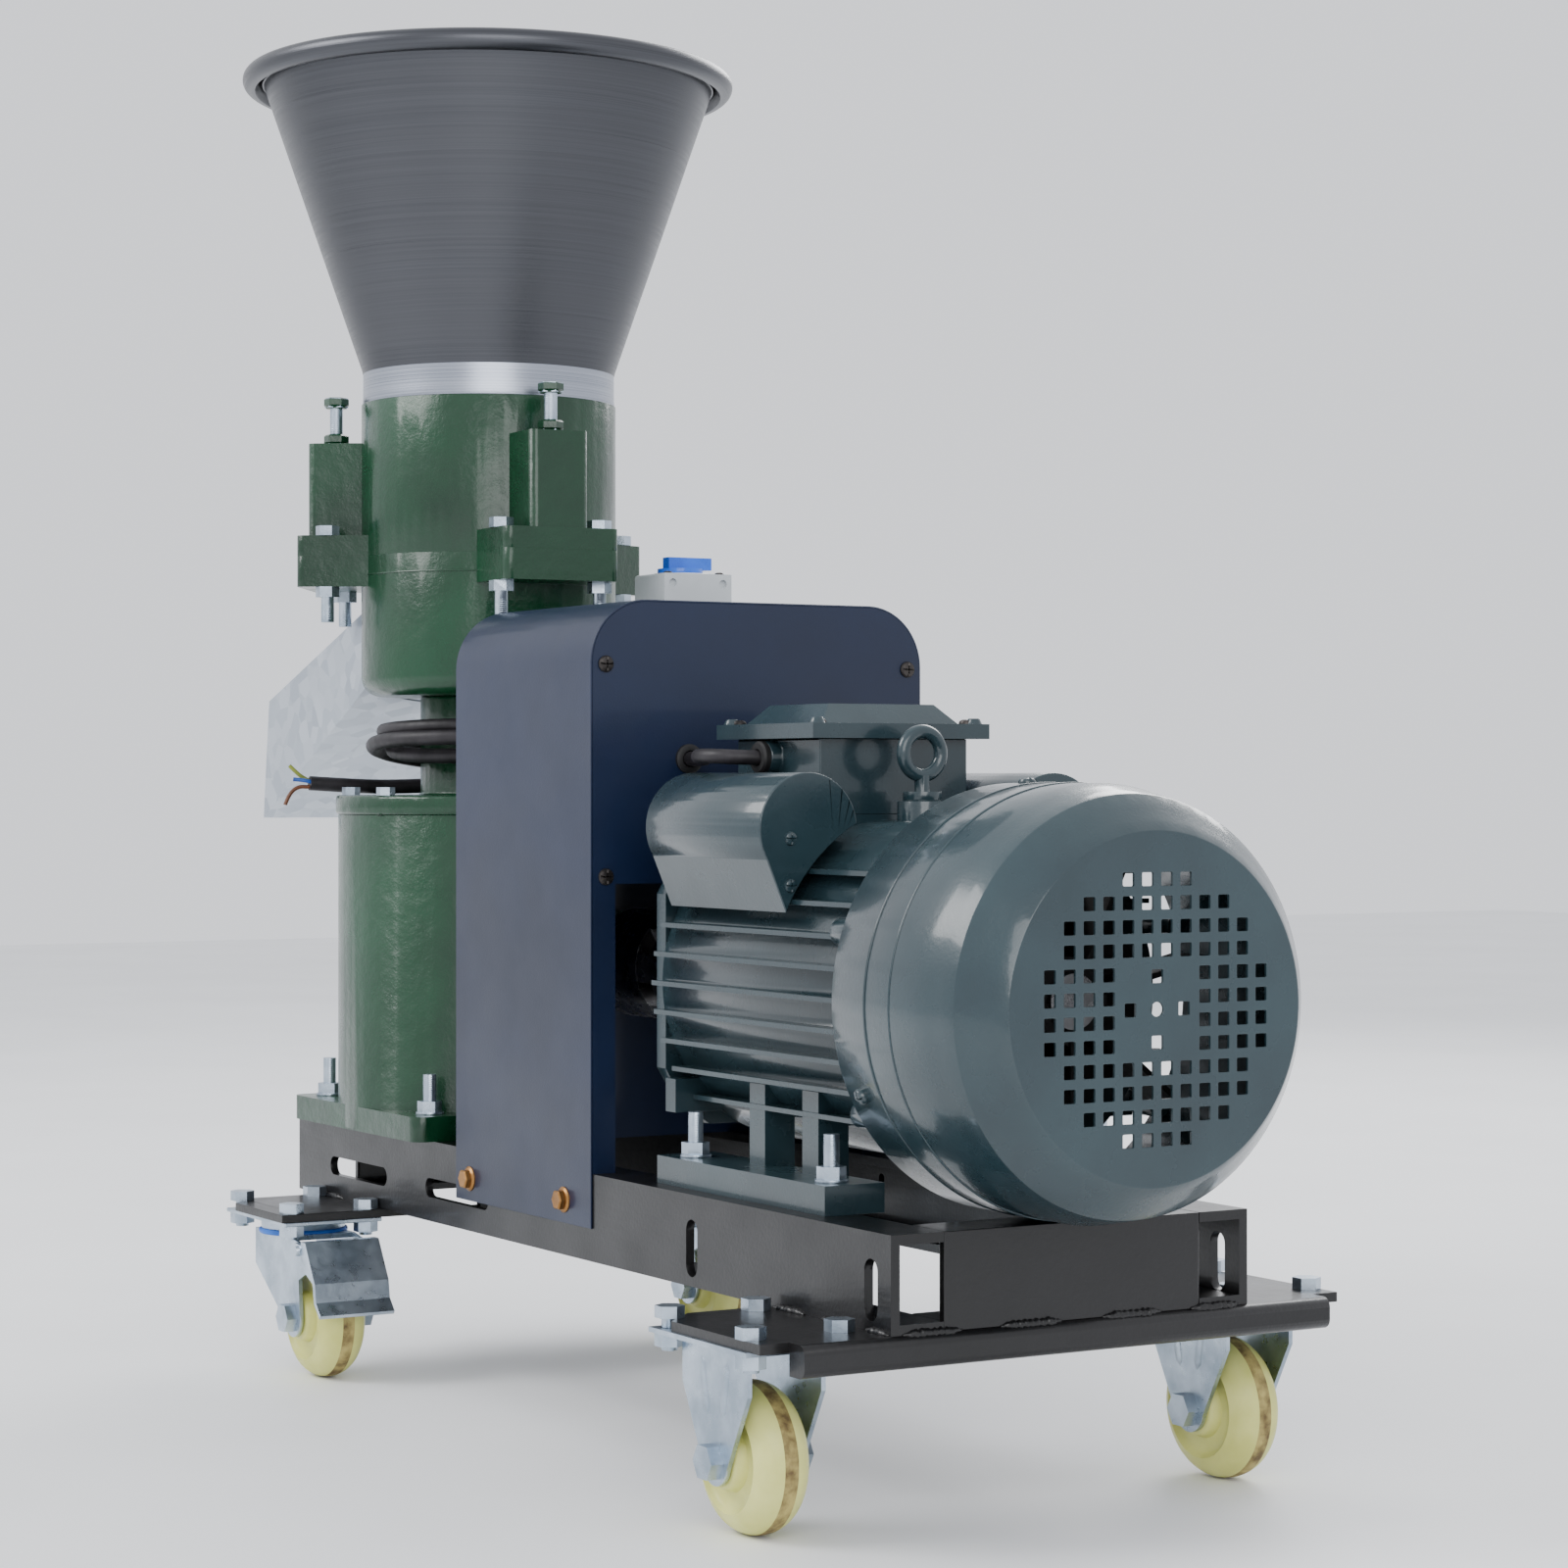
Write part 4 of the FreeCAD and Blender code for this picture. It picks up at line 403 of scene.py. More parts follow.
die_steel = speckled("ground_die_steel", (84, 80, 76), (126, 122, 116), 0.36, 420, 0.0003, metallic=0.9, patches=24)
dark_nut = speckled("oiled_nut", (40, 38, 38), (70, 66, 64), 0.38, 500, 0.0002, metallic=0.8, patches=50)
print("metal finishes made")

# %% [markdown]
# ### Plastic and rubber
# The wheels are moulded in one piece of pale yellow nylon that has picked up dirt where it rolls. The
# switch box is a light grey moulding with a blue lever. The cords have a dull black sheath.

# %% Plastic finishes
nylon = speckled("yellow_nylon", (198, 198, 112), (214, 214, 134), 0.38, 300, 0.0003, patches=30)
nylon.shader.inputs["Subsurface Weight"].default_value = 0.12
nylon.shader.inputs["Subsurface Radius"].default_value = (0.004, 0.003, 0.001)
tread_dirt = speckled("rolled_tread", (96, 78, 48), (176, 160, 96), 0.6, 380, 0.0005, patches=120)
grey_shell = speckled("switch_grey", (190, 195, 198), (206, 211, 214), 0.42, 900, 0.0001, patches=20)
blue_lever = speckled("blue_lever", (28, 88, 198), (40, 108, 222), 0.3, 700, 0.0001, coat=0.3, patches=40)
white_dial = speckled("white_dial", (222, 224, 224), (236, 238, 238), 0.4, 700, 0.0001, patches=40)
seal_blue = speckled("blue_seal", (24, 82, 170), (36, 104, 200), 0.45, 500, 0.0002, patches=60)
sheath = speckled("black_sheath", (24, 22, 25), (44, 41, 45), 0.5, 800, 0.0002, patches=70)
soft_black = speckled("black_grommet", (18, 18, 19), (32, 31, 32), 0.55, 600, 0.0002, patches=60)
core_tones = {"earth": (118, 128, 40), "neutral": (36, 84, 168), "live": (104, 60, 34)}
core_finish = {name: speckled(f"core_{name}_plastic", tuple(int(v * 0.82) for v in colour), colour, 0.35, 700,
                              0.0001, patches=90) for name, colour in core_tones.items()}
print("plastic finishes made")

# %% Finishes on the cords
for piece in (supply_cord, motor_lead):
    piece.data.materials.append(sheath.material)
for name, piece in cores.items():
    piece.data.materials.append(core_finish[name].material)

# %% [markdown]
# ### Finishes on the CAD parts
# A CAD part whose shape is right stays as it is and takes its finish in its material slots. Real edges are
# never knife sharp, and a small bevel catches the light along them, so most parts also get a weld, which
# closes the seams between its faces, and a narrow bevel on its sharp edges. The flat sheet parts are shaded flat
# instead.

# %% Dress the CAD parts
DRESS = {
    enamel: "gear_case gear_case_cover discharge_chamber roller_chamber",
    guard_coat: "guard_band guard_motor_plate guard_mill_plate",
    motor_coat: "motor_frame drive_end_shield terminal_box terminal_lid capacitor_cover_near capacitor_cover_far "
                "eye_bolt",
    base_coat: "near_rail far_rail frame_cross_channels end_caster_carrier swivel_carrier_near swivel_carrier_far",
    plated: "caster_bolts rigid_fork_near rigid_fork_far swivel_top_near swivel_top_far swivel_fork_near "
            "swivel_fork_far brake_pedal_near brake_pedal_far base_fasteners chamber_bolts adjusting_bolts",
    turned_steel: "main_shaft ring_gear input_shaft roller_carrier press_roller_a press_roller_b press_roller_c "
                  "motor_rotor gearbox_bearings stator",
    die_steel: "flat_die",
    zinc_sheet: "discharge_chute",
    yellow_plated: "guard_screws",
    grey_shell: "switch_box switch_lid",
    soft_black: "cooling_fan",
}
WIDE = {"gear_case": 0.0022, "gear_case_cover": 0.002, "discharge_chamber": 0.002, "roller_chamber": 0.002,
        "motor_frame": 0.0009, "drive_end_shield": 0.0016, "terminal_box": 0.0022, "terminal_lid": 0.0018,
        "capacitor_cover_near": 0.0008, "capacitor_cover_far": 0.0008, "guard_band": 0, "guard_motor_plate": 0,
        "guard_mill_plate": 0, "discharge_chute": 0, "switch_box": 0.0014, "switch_lid": 0.0014,
        "near_rail": 0.0014, "far_rail": 0.0014, "frame_cross_channels": 0.0012}
CREASE = {"fan_cover": 12, "capacitor_cover_near": 22, "capacitor_cover_far": 22, "terminal_lid": 20}


def break_edges(piece, width, segments=2, crease=34):
    """Welds a mesh's seams and rounds the edges that turn by more than the crease angle, as modifiers. With no width,
    it shades the mesh flat instead.
    """
    if not width:
        piece.data.shade_flat()
        return
    weld = piece.modifiers.new("weld", "WELD")
    weld.merge_threshold = 0.00001
    round_off = piece.modifiers.new("edge", "BEVEL")
    round_off.width = width
    round_off.segments = segments
    round_off.limit_method = "ANGLE"
    round_off.angle_limit = math.radians(crease)
    round_off.use_clamp_overlap = True
    round_off.harden_normals = True


def dress(node, finish):
    piece = frame["nodes"][node]
    piece.data.materials.clear()
    piece.data.materials.append(finish.material)
    break_edges(piece, WIDE.get(node, 0.0006), 2, CREASE.get(node, 34))


for finish, names in DRESS.items():
    for name in names.split():
        dress(name, finish)
print("dressed", sum(len(names.split()) for names in DRESS.values()), "CAD parts")

# %% [markdown]
# ## Turned pieces
# The hopper, the wheels, the fan cover's beads and many small rings are round about an axis. Each is a profile of
# radius and height that is swept round, which keeps its rings exact and smooth.


# %% Sweep a profile round an axis
def put(name, mesh, finish, body, sharp=38):
    """Places a finished mesh in the scene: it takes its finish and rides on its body."""
    mesh.materials.append(finish.material)
    mesh.shade_smooth()
    mesh.set_sharp_from_angle(angle=math.radians(sharp))
    piece = bpy.data.objects.new(name, mesh)
    bpy.context.scene.collection.objects.link(piece)
    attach(piece, body)
    return piece


AXES = {"z": Matrix.Identity(4), "x": Matrix.Rotation(math.radians(90), 4, "Y"),
        "y": Matrix.Rotation(math.radians(-90), 4, "X")}


def sweep(mesh_tool, profile, centre, axis="z", steps=96, closed=False):
    """Adds the surface that a profile of (radius, height) pairs in metres sweeps round an axis."""
    turn = Matrix.Translation(centre) @ AXES[axis]
    rows = []
    for radius, height in profile:
        spots = [Vector((radius * math.cos(a), radius * math.sin(a), height))
                 for a in (2 * math.pi * i / steps for i in range(steps))]
        rows.append([mesh_tool.verts.new(turn @ spot) for spot in spots])
    pairs = list(zip(rows, rows[1:])) + ([(rows[-1], rows[0])] if closed else [])
    for lower, upper in pairs:
        for i in range(steps):
            mesh_tool.faces.new((lower[i], lower[(i + 1) % steps], upper[(i + 1) % steps], upper[i]))


def lathe(name, profile, centre, axis, finish, body, steps=96, closed=True, sharp=38):
    """One turned piece. A closed profile is a ring with a bore; its ends meet."""
    tool = bmesh.new()
    sweep(tool, profile, centre, axis, steps, closed)
    bmesh.ops.recalc_face_normals(tool, faces=tool.faces)
    mesh = bpy.data.meshes.new(name)
    tool.to_mesh(mesh)
    tool.free()
    return put(name, mesh, finish, body, sharp)


def arc(centre_r, centre_h, radius, start, stop, steps):
    """Profile points along an arc, in degrees."""
    angles = [math.radians(start + (stop - start) * i / steps) for i in range(steps + 1)]
    return [(centre_r + radius * math.cos(a), centre_h + radius * math.sin(a)) for a in angles]


# %% [markdown]
# ### The hopper
# The cone was spun from sheet over a former, its mouth rolled outward into a bead round a wire, and its foot
# drawn into a short straight band. The wall is one and a half millimetres thick, and the shoulder between cone
# and band has a small radius. The band takes a lighter copy of the spun steel, a painted reflection.

# %% Hopper
hopper_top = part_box("feed_hopper")[1].z
bead_r, bead_line = 0.0065, 0.1475
bead_z = hopper_top - bead_r
SHEET = 0.0015
shoulder = RING_TOP + 0.020
mouth_r = bead_line - bead_r
hopper_axis = Vector((MILL.x, MILL.y, 0))
outside = [(0.0790, shoulder - 0.0006), (0.0792, shoulder), (0.0797, shoulder + 0.0022)]
outside += [(0.0797 + (mouth_r - 0.0002 - 0.0797) * i / 14, shoulder + 0.0022 + (bead_z - 0.003 - shoulder - 0.0022) * i / 14)
            for i in range(1, 15)]
bead = arc(bead_line, bead_z, bead_r, 207, -100, 30)
inside = [(r - SHEET, h) for r, h in reversed(outside)]
cone = lathe("hopper_cone", outside + bead + [(mouth_r - SHEET, bead_z + 0.004)] + inside, hopper_axis, "z",
             spun, "feed_hopper", steps=160)
band_profile = [(0.0719, RING_TOP - 0.012), (0.0719, RING_TOP + 0.0003), (0.0790, RING_TOP + 0.0003),
                (0.0792, RING_TOP + 0.002), (0.0790, RING_TOP + 0.004), (0.0790, shoulder - 0.0006),
                (0.0775, shoulder - 0.0006), (0.0775, RING_TOP + 0.002), (0.0704, RING_TOP + 0.002),
                (0.0704, RING_TOP - 0.012)]
band = lathe("hopper_band", band_profile, hopper_axis, "z", painted_reflection_band, "feed_hopper", steps=160)
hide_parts("feed_hopper")
print("hopper is", round(2 * (bead_line + bead_r), 3), "m across its bead")

# %% [markdown]
# ### The wheels
# Each wheel is one moulding: a broad hub that stands proud of a dished web, then a rim whose tread is
# crowned, so that it rolls on a narrow line. That line is where the dirt gathers.

# %% Wheels
for name in ("rigid_wheel_near", "rigid_wheel_far", "swivel_wheel_near", "swivel_wheel_far"):
    low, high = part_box(name)
    centre = (low + high) / 2
    rim, half = (high.z - low.z) / 2, (high.y - low.y) / 2
    tread = arc(rim - 0.0128, 0, 0.0128, -66, 66, 18)
    tread = [(r, h * 1.16) for r, h in tread]
    side = [(0.0262, -half + 0.0028), (0.0250, -half + 0.0046), (0.0236, -half + 0.0062), (0.0190, -half + 0.0068),
            (0.0158, -half + 0.0060), (0.0146, -half + 0.0022), (0.0138, -half + 0.0006), (0.0126, -half),
            (0.0054, -half)]
    profile = [(r, h) for r, h in reversed(side)] + tread + [(r, -h) for r, h in side]
    tool = bmesh.new()
    sweep(tool, profile, centre, "y", 96, True)
    bmesh.ops.recalc_face_normals(tool, faces=tool.faces)
    for face in tool.faces:
        spot = face.calc_center_median() - centre
        if abs(spot.y) < 0.0034 and math.hypot(spot.x, spot.z) > rim - 0.002:
            face.material_index = 1
    mesh = bpy.data.meshes.new("nylon_" + name)
    tool.to_mesh(mesh)
    tool.free()
    wheel = put("nylon_" + name, mesh, nylon, name, 50)
    mesh.materials.append(tread_dirt.material)
    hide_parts(name)
print("turned 4 nylon wheels")

# %% [markdown]
# ### The fan cover
# The cover was drawn from sheet: a straight skirt with one raised step where it slips over the motor, a cone,
# a rounded corner and a flat face with punched square holes. The CAD part has the holes, so it stays, and a narrow
# bevel that starts at a low crease angle gives it the drawn corners. Two shallow beads and the side screws are laid
# on it.


# %% Small round-headed parts
def screw_head(name, spot, outward, radius, height, finish, body, cross=True):
    """A pan head with a cross cut in it, standing on a surface and facing outward."""
    tool = bmesh.new()
    rows = [(radius, 0.0), (radius, height * 0.35), (radius * 0.86, height * 0.75), (radius * 0.5, height),
            (radius * 0.18, height), (0.0002, height * (0.35 if cross else 1.0))]
    steps = 24
    rings = []
    for r, h in rows:
        ring_points = []
        for i in range(steps):
            a = 2 * math.pi * i / steps
            dip = 0.45 * height if cross and h > height * 0.9 and abs(math.sin(2 * a)) < 0.3 else 0
            ring_points.append(tool.verts.new((r * math.cos(a), r * math.sin(a), h - dip)))
        rings.append(ring_points)
    for lower, upper in zip(rings, rings[1:]):
        for i in range(steps):
            tool.faces.new((lower[i], lower[(i + 1) % steps], upper[(i + 1) % steps], upper[i]))
    tool.faces.new(rings[-1])
    tool.faces.new(list(reversed(rings[0])))
    turn = Vector(outward).to_track_quat("Z", "Y").to_matrix().to_4x4()
    tool.transform(Matrix.Translation(spot) @ turn)
    bmesh.ops.recalc_face_normals(tool, faces=tool.faces)
    mesh = bpy.data.meshes.new(name)
    tool.to_mesh(mesh)
    tool.free()
    return put(name, mesh, finish, body, 30)


def torus_profile(radius, wire, height, steps=14, squash=1.0):
    """A closed round profile for a ring of wire."""
    return [(radius + wire * math.cos(a) * squash, height + wire * math.sin(a))
            for a in (2 * math.pi * i / steps for i in range(steps))]


# %% Fan cover
dress("fan_cover", motor_coat)
frame["nodes"]["fan_cover"].modifiers["edge"].width = 0.0005
fan_low, fan_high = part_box("fan_cover")
fan_radius = (fan_high.z - fan_low.z) / 2
fan_axis = Vector((0, (fan_low.y + fan_high.y) / 2, (fan_low.z + fan_high.z) / 2))
for number, (station, wire) in enumerate(((fan_low.x + 0.030, 0.0008), (fan_low.x + 0.052, 0.0008))):
    lathe(f"fan_cover_bead_{number + 1}", torus_profile(fan_radius, wire, station, squash=0.7), fan_axis, "x",
          motor_coat, "root", steps=160)
for number, degrees in enumerate((205, 25, 90, 270)):
    away = Vector((0, math.cos(math.radians(degrees)), math.sin(math.radians(degrees))))
    spot = Vector((fan_low.x + 0.012, fan_axis.y, fan_axis.z)) + away * (fan_radius - 0.0002)
    screw_head(f"fan_cover_screw_{number + 1}", spot, away, 0.0044, 0.0028, motor_coat, "root")
print("fan cover is", round(2 * fan_radius, 3), "m across")

# %% [markdown]
# ### The motor's small parts
# The capacitor covers are pressings with a flat flange at the fan end and a pair of screws. The terminal box
# lid has a screw at each corner. The lead passes through a rubber grommet at the box and another at the guard.


# %% Grommets and screws on the motor and guard
def grommet(name, centre, outward, bore, outer, thick, body="root"):
    """A rubber ring with rounded lips, lying across a hole."""
    turn = Vector(outward).to_track_quat("Z", "Y").to_matrix().to_4x4()
    profile = [(bore, 0), (bore, thick * 0.7), (bore + 0.0006, thick), (outer - 0.0010, thick), (outer, thick * 0.7),
               (outer, 0)]
    made = lathe(name, profile, Vector((0, 0, 0)), "z", soft_black, body, steps=40)
    made.data.transform(Matrix.Translation(centre) @ turn)
    return made


lead_at_box, lead_at_plate = place(148, -46, 378), place(53, -46, 378)
box_low, box_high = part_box("terminal_box")
grommet("terminal_grommet", Vector((lead_at_box.x, box_low.y, lead_at_box.z)), (0, -1, 0), 0.0041, 0.0088, 0.004)
plate_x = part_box("guard_motor_plate")[1].x
grommet("guard_grommet", Vector((plate_x, lead_at_plate.y, lead_at_plate.z)), (1, 0, 0), 0.0042, 0.0082, 0.0025)
lid_low, lid_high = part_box("terminal_lid")
for i, (sx, sy) in enumerate(((0, 0), (1, 0), (1, 1), (0, 1))):
    spot = Vector((lid_low.x + 0.009 + sx * (lid_high.x - lid_low.x - 0.018),
                   lid_low.y + 0.009 + sy * (lid_high.y - lid_low.y - 0.018), 0))
    spot.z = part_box("terminal_lid")[0].z + 0.0079
    screw_head(f"terminal_lid_screw_{i + 1}", spot, (0, 0, 1), 0.0040, 0.0026, dark_nut, "root")
for side in ("near", "far"):
    low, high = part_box("capacitor_cover_" + side)
    outer_y = low.y if side == "near" else high.y
    out_y = -1 if side == "near" else 1
    centre_z = (low.z + high.z) / 2 - 0.008
    for i, height in enumerate((0.010, -0.014)):
        spot = Vector((high.x - 0.0005, outer_y - out_y * 0.018, centre_z + height))
        screw_head(f"capacitor_screw_{side}_{i + 1}", spot, (1, 0, 0), 0.0036, 0.0024, motor_coat, "root")
print("grommets and screws placed")

# %% [markdown]
# ### The switch box
# A light grey moulding with a lid held by four screws, a white dial with an index ring and a blue lever that
# turns a quarter of a circle. The supply cord leaves its underside through a tapered rubber sleeve.

# %% Switch box
switch_low, switch_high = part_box("switch_lid")
for i, (sx, sy) in enumerate(((0, 0), (1, 0), (1, 1), (0, 1))):
    spot = Vector((switch_low.x + 0.0055 + sx * (switch_high.x - switch_low.x - 0.011),
                   switch_low.y + 0.0055 + sy * (switch_high.y - switch_low.y - 0.011), switch_high.z - 0.0002))
    screw_head(f"switch_screw_{i + 1}", spot, (0, 0, 1), 0.0026, 0.0016, dark_nut, "root")
knob = frame["nodes"]["switch_knob"]
knob.data.materials.clear()
knob.data.materials.append(blue_lever.material)
break_edges(knob, 0.001, 3)

# %% [markdown]
# ### Screws on the guard
# Small dark pan screws hold the motor-side plate, and copper-coloured flanged screws pull the band's skirts
# onto the rails. Their places are read from the CAD screws, one loose solid at a time.


# %% Find the solids of a CAD part
def islands(node):
    """The box of each loose solid of a CAD part, as (low, high) corners in the row frame."""
    piece = frame["nodes"][node]
    tool = bmesh.new()
    tool.from_mesh(piece.data)
    bmesh.ops.remove_doubles(tool, verts=tool.verts, dist=0.00001)
    left, found = set(tool.verts), []
    while left:
        front, group = [left.pop()], []
        while front:
            spot = front.pop()
            group.append(piece.matrix_world @ spot.co)
            for edge in spot.link_edges:
                other = edge.other_vert(spot)
                if other in left:
                    left.discard(other)
                    front.append(other)
        found.append((Vector([min(p[i] for p in group) for i in range(3)]),
                      Vector([max(p[i] for p in group) for i in range(3)])))
    tool.free()
    return found


def hex_screw(name, spot, outward, across, height, flange, finish, body):
    """A hexagon head with a chamfered top on a round flange."""
    tool = bmesh.new()
    corner = across / math.sqrt(3)
    rows = [("round", flange, 0.0), ("round", flange, height * 0.12), ("round", corner * 1.02, height * 0.3),
            ("hex", corner, height * 0.3), ("hex", corner, height * 0.86), ("hex", corner * 0.86, height),
            ("hex", 0.0003, height)]
    steps, rings = 36, []
    for kind, radius, rise in rows:
        points = []
        for i in range(steps):
            a = 2 * math.pi * i / steps
            far = radius
            if kind == "hex":
                far = radius * math.cos(math.pi / 6) / math.cos((a % (math.pi / 3)) - math.pi / 6)
            points.append(tool.verts.new((far * math.cos(a), far * math.sin(a), rise)))
        rings.append(points)
    for lower, upper in zip(rings, rings[1:]):
        for i in range(steps):
            tool.faces.new((lower[i], lower[(i + 1) % steps], upper[(i + 1) % steps], upper[i]))
    tool.faces.new(rings[-1])
    tool.faces.new(list(reversed(rings[0])))
    turn = Vector(outward).to_track_quat("Z", "Y").to_matrix().to_4x4()
    tool.transform(Matrix.Translation(spot) @ turn)
    bmesh.ops.recalc_face_normals(tool, faces=tool.faces)
    mesh = bpy.data.meshes.new(name)
    tool.to_mesh(mesh)
    tool.free()
    return put(name, mesh, finish, body, 30)


# %% [markdown]
# ### The guard band
# One strip of sheet is folded over the coupling: up one side, round a corner, across and down the other
# side. It is drawn as its bend line, given the sheet's thickness and its edges broken.

# %% Guard band
band_low, band_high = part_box("guard_band")
CORNER, GAUGE = 0.035, 0.0012
bend = [(band_low.y, band_low.z), (band_low.y, (band_low.z + band_high.z) / 2)]
bend += [(band_low.y + CORNER - CORNER * math.cos(a), band_high.z - CORNER + CORNER * math.sin(a))
         for a in (math.pi / 2 * i / 16 for i in range(17))]
bend += [(band_high.y - CORNER + CORNER * math.sin(a), band_high.z - CORNER + CORNER * math.cos(a))
         for a in (math.pi / 2 * i / 16 for i in range(17))]
bend += [(band_high.y, (band_low.z + band_high.z) / 2), (band_high.y, band_low.z)]
tool = bmesh.new()
edges = [[tool.verts.new((x, y, z)) for y, z in bend] for x in (band_low.x, band_high.x)]
for i in range(len(bend) - 1):
    tool.faces.new((edges[0][i], edges[0][i + 1], edges[1][i + 1], edges[1][i]))
bmesh.ops.recalc_face_normals(tool, faces=tool.faces)
centre = (band_low + band_high) / 2
tool.faces.ensure_lookup_table()
first = tool.faces[0]
if first.normal.dot(first.calc_center_median() - centre) < 0:
    bmesh.ops.reverse_faces(tool, faces=tool.faces[:])
mesh = bpy.data.meshes.new("folded_guard")
tool.to_mesh(mesh)
tool.free()
folded_guard = put("folded_guard", mesh, guard_coat, "root")
gauge = folded_guard.modifiers.new("gauge", "SOLIDIFY")
gauge.thickness = GAUGE
gauge.offset = -1
edge = folded_guard.modifiers.new("edge", "BEVEL")
edge.width = 0.0004
edge.segments = 2
edge.limit_method = "ANGLE"
edge.angle_limit = math.radians(40)
edge.harden_normals = True
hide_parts("guard_band")
print("guard band is", round(band_high.y - band_low.y, 3), "m wide")

# %% Guard screws
guard_pieces = []
plate_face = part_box("guard_motor_plate")[1].x
band_low, band_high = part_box("guard_band")
for i, (low, high) in enumerate(islands("guard_screws")):
    middle_point = (low + high) / 2
    if high.y - low.y < 0.03 and abs(high.x - plate_face) < 0.006 and low.y > band_low.y + 0.004 \
            and high.y < band_high.y - 0.004:
        spot = Vector((plate_face, middle_point.y, middle_point.z))
        made = screw_head(f"guard_pan_screw_{i}", spot, (1, 0, 0), 0.0046, 0.0024, dark_nut, "root")
    else:
        side = -1 if middle_point.y < MILL.y else 1
        spot = Vector((middle_point.x, band_low.y if side < 0 else band_high.y, middle_point.z))
        made = hex_screw(f"guard_flange_screw_{i}", spot, (0, side, 0), 0.010, 0.0052, 0.0072, yellow_plated, "root")
    guard_pieces.append(made)
print("guard has", len(guard_pieces), "screws")
for made in guard_pieces:
    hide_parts("guard_screws")

# %% [markdown]
# ### Threads
# Studs and long bolts show a rolled thread where they stand out of their nuts. The thread is one ridge that
# winds up the shank, one and a quarter millimetres for each turn of an M8.


# %% Wind a thread
def thread(tool, centre, low, high, radius, pitch=0.00125, steps=20):
    """Adds a winding ridge round an upright shank between two heights."""
    turns = (high - low) / pitch
    count = int(turns * steps)
    rows = []
    for i in range(count + 1):
        a = 2 * math.pi * i / steps
        rise = low + pitch * i / steps
        fade = min(1.0, i / steps, (count - i) / steps)
        row = []
        for offset, reach in ((-0.46, -0.00022), (0.0, 0.00020 * fade), (0.46, -0.00022)):
            far = radius + reach
            row.append(tool.verts.new((centre.x + far * math.cos(a), centre.y + far * math.sin(a),
                                       rise + offset * pitch)))
        rows.append(row)
    for lower, upper in zip(rows, rows[1:]):
        for j in (0, 1):
            tool.faces.new((lower[j], upper[j], upper[j + 1], lower[j + 1]))


def threads(name, spans, finish, body):
    """One mesh with a thread for each (centre, low, high, radius)."""
    tool = bmesh.new()
    for centre, low, high, radius in spans:
        thread(tool, centre, low, high, radius)
    bmesh.ops.recalc_face_normals(tool, faces=tool.faces)
    mesh = bpy.data.meshes.new(name)
    tool.to_mesh(mesh)
    tool.free()
    return put(name, mesh, finish, body, 80)


base_spans, clamp_spans, lift_spans = [], [], []
for low, high in islands("base_fasteners"):
    if high.x - low.x < 0.0085 and high.z - low.z > 0.02:
        base_spans.append(((low + high) / 2, high.z - 0.018, high.z - 0.0008, (high.x - low.x) / 2))
for low, high in islands("chamber_bolts"):
    if high.z - low.z > 0.02:
        clamp_spans.append(((low + high) / 2, low.z + 0.0006, low.z + 0.011, 0.004))
for low, high in islands("adjusting_bolts"):
    if high.z - low.z > 0.02:
        lift_spans.append(((low + high) / 2, 0.585, high.z - 0.0065, 0.004))
for name, spans, body in (("base_threads", base_spans, "root"), ("chamber_threads", clamp_spans, "root"),
                          ("adjuster_threads", lift_spans, body_of(frame["nodes"]["adjusting_bolts"]))):
    print(name, len(spans))
    if spans:
        threads(name, spans, plated, body if isinstance(body, str) else "roller_carrier")

# %% Painted adjuster heads
# The adjusters were painted over together with the chamber, so head and lock nut are green.
for i, (centre, low, high, radius) in enumerate(lift_spans):
    top = Vector((centre.x, centre.y, high))
    hex_screw(f"adjuster_head_{i + 1}", top, (0, 0, 1), 0.0136, 0.0068, 0.0066, enamel, "roller_carrier")
    foot = Vector((centre.x, centre.y, 0.578))
    hex_screw(f"adjuster_nut_{i + 1}", foot, (0, 0, 1), 0.0136, 0.0070, 0.0070, enamel, "root")

# %% [markdown]
# ### Casters
# A blue plastic seal closes the ball race of each swivelling caster. The fork legs have a pressed rib that
# stiffens them between the plate and the axle.


# %% Seals and pressed ribs
def rib(name, start, end, outward, width, proud, finish, body):
    """A pressed rib: a long low dome from start to end that stands proud of a sheet."""
    tool = bmesh.new()
    start, end, outward = Vector(start), Vector(end), Vector(outward).normalized()
    along = (end - start).normalized()
    across = along.cross(outward)
    rows = []
    count, span = 20, 8
    for i in range(count + 1):
        share = i / count
        swell = min(1.0, math.sin(math.pi * share) * 2.2)
        row = []
        for j in range(span + 1):
            a = math.pi * j / span
            spot = start + (end - start) * share
            spot += across * (width / 2 * math.cos(a) * max(swell, 0.08)) + outward * (proud * math.sin(a) * swell)
            row.append(tool.verts.new(spot - outward * 0.0002))
        rows.append(row)
    for lower, upper in zip(rows, rows[1:]):
        for j in range(span):
            tool.faces.new((lower[j], lower[j + 1], upper[j + 1], upper[j]))
    bmesh.ops.recalc_face_normals(tool, faces=tool.faces)
    mesh = bpy.data.meshes.new(name)
    tool.to_mesh(mesh)
    tool.free()
    return put(name, mesh, finish, body, 60)


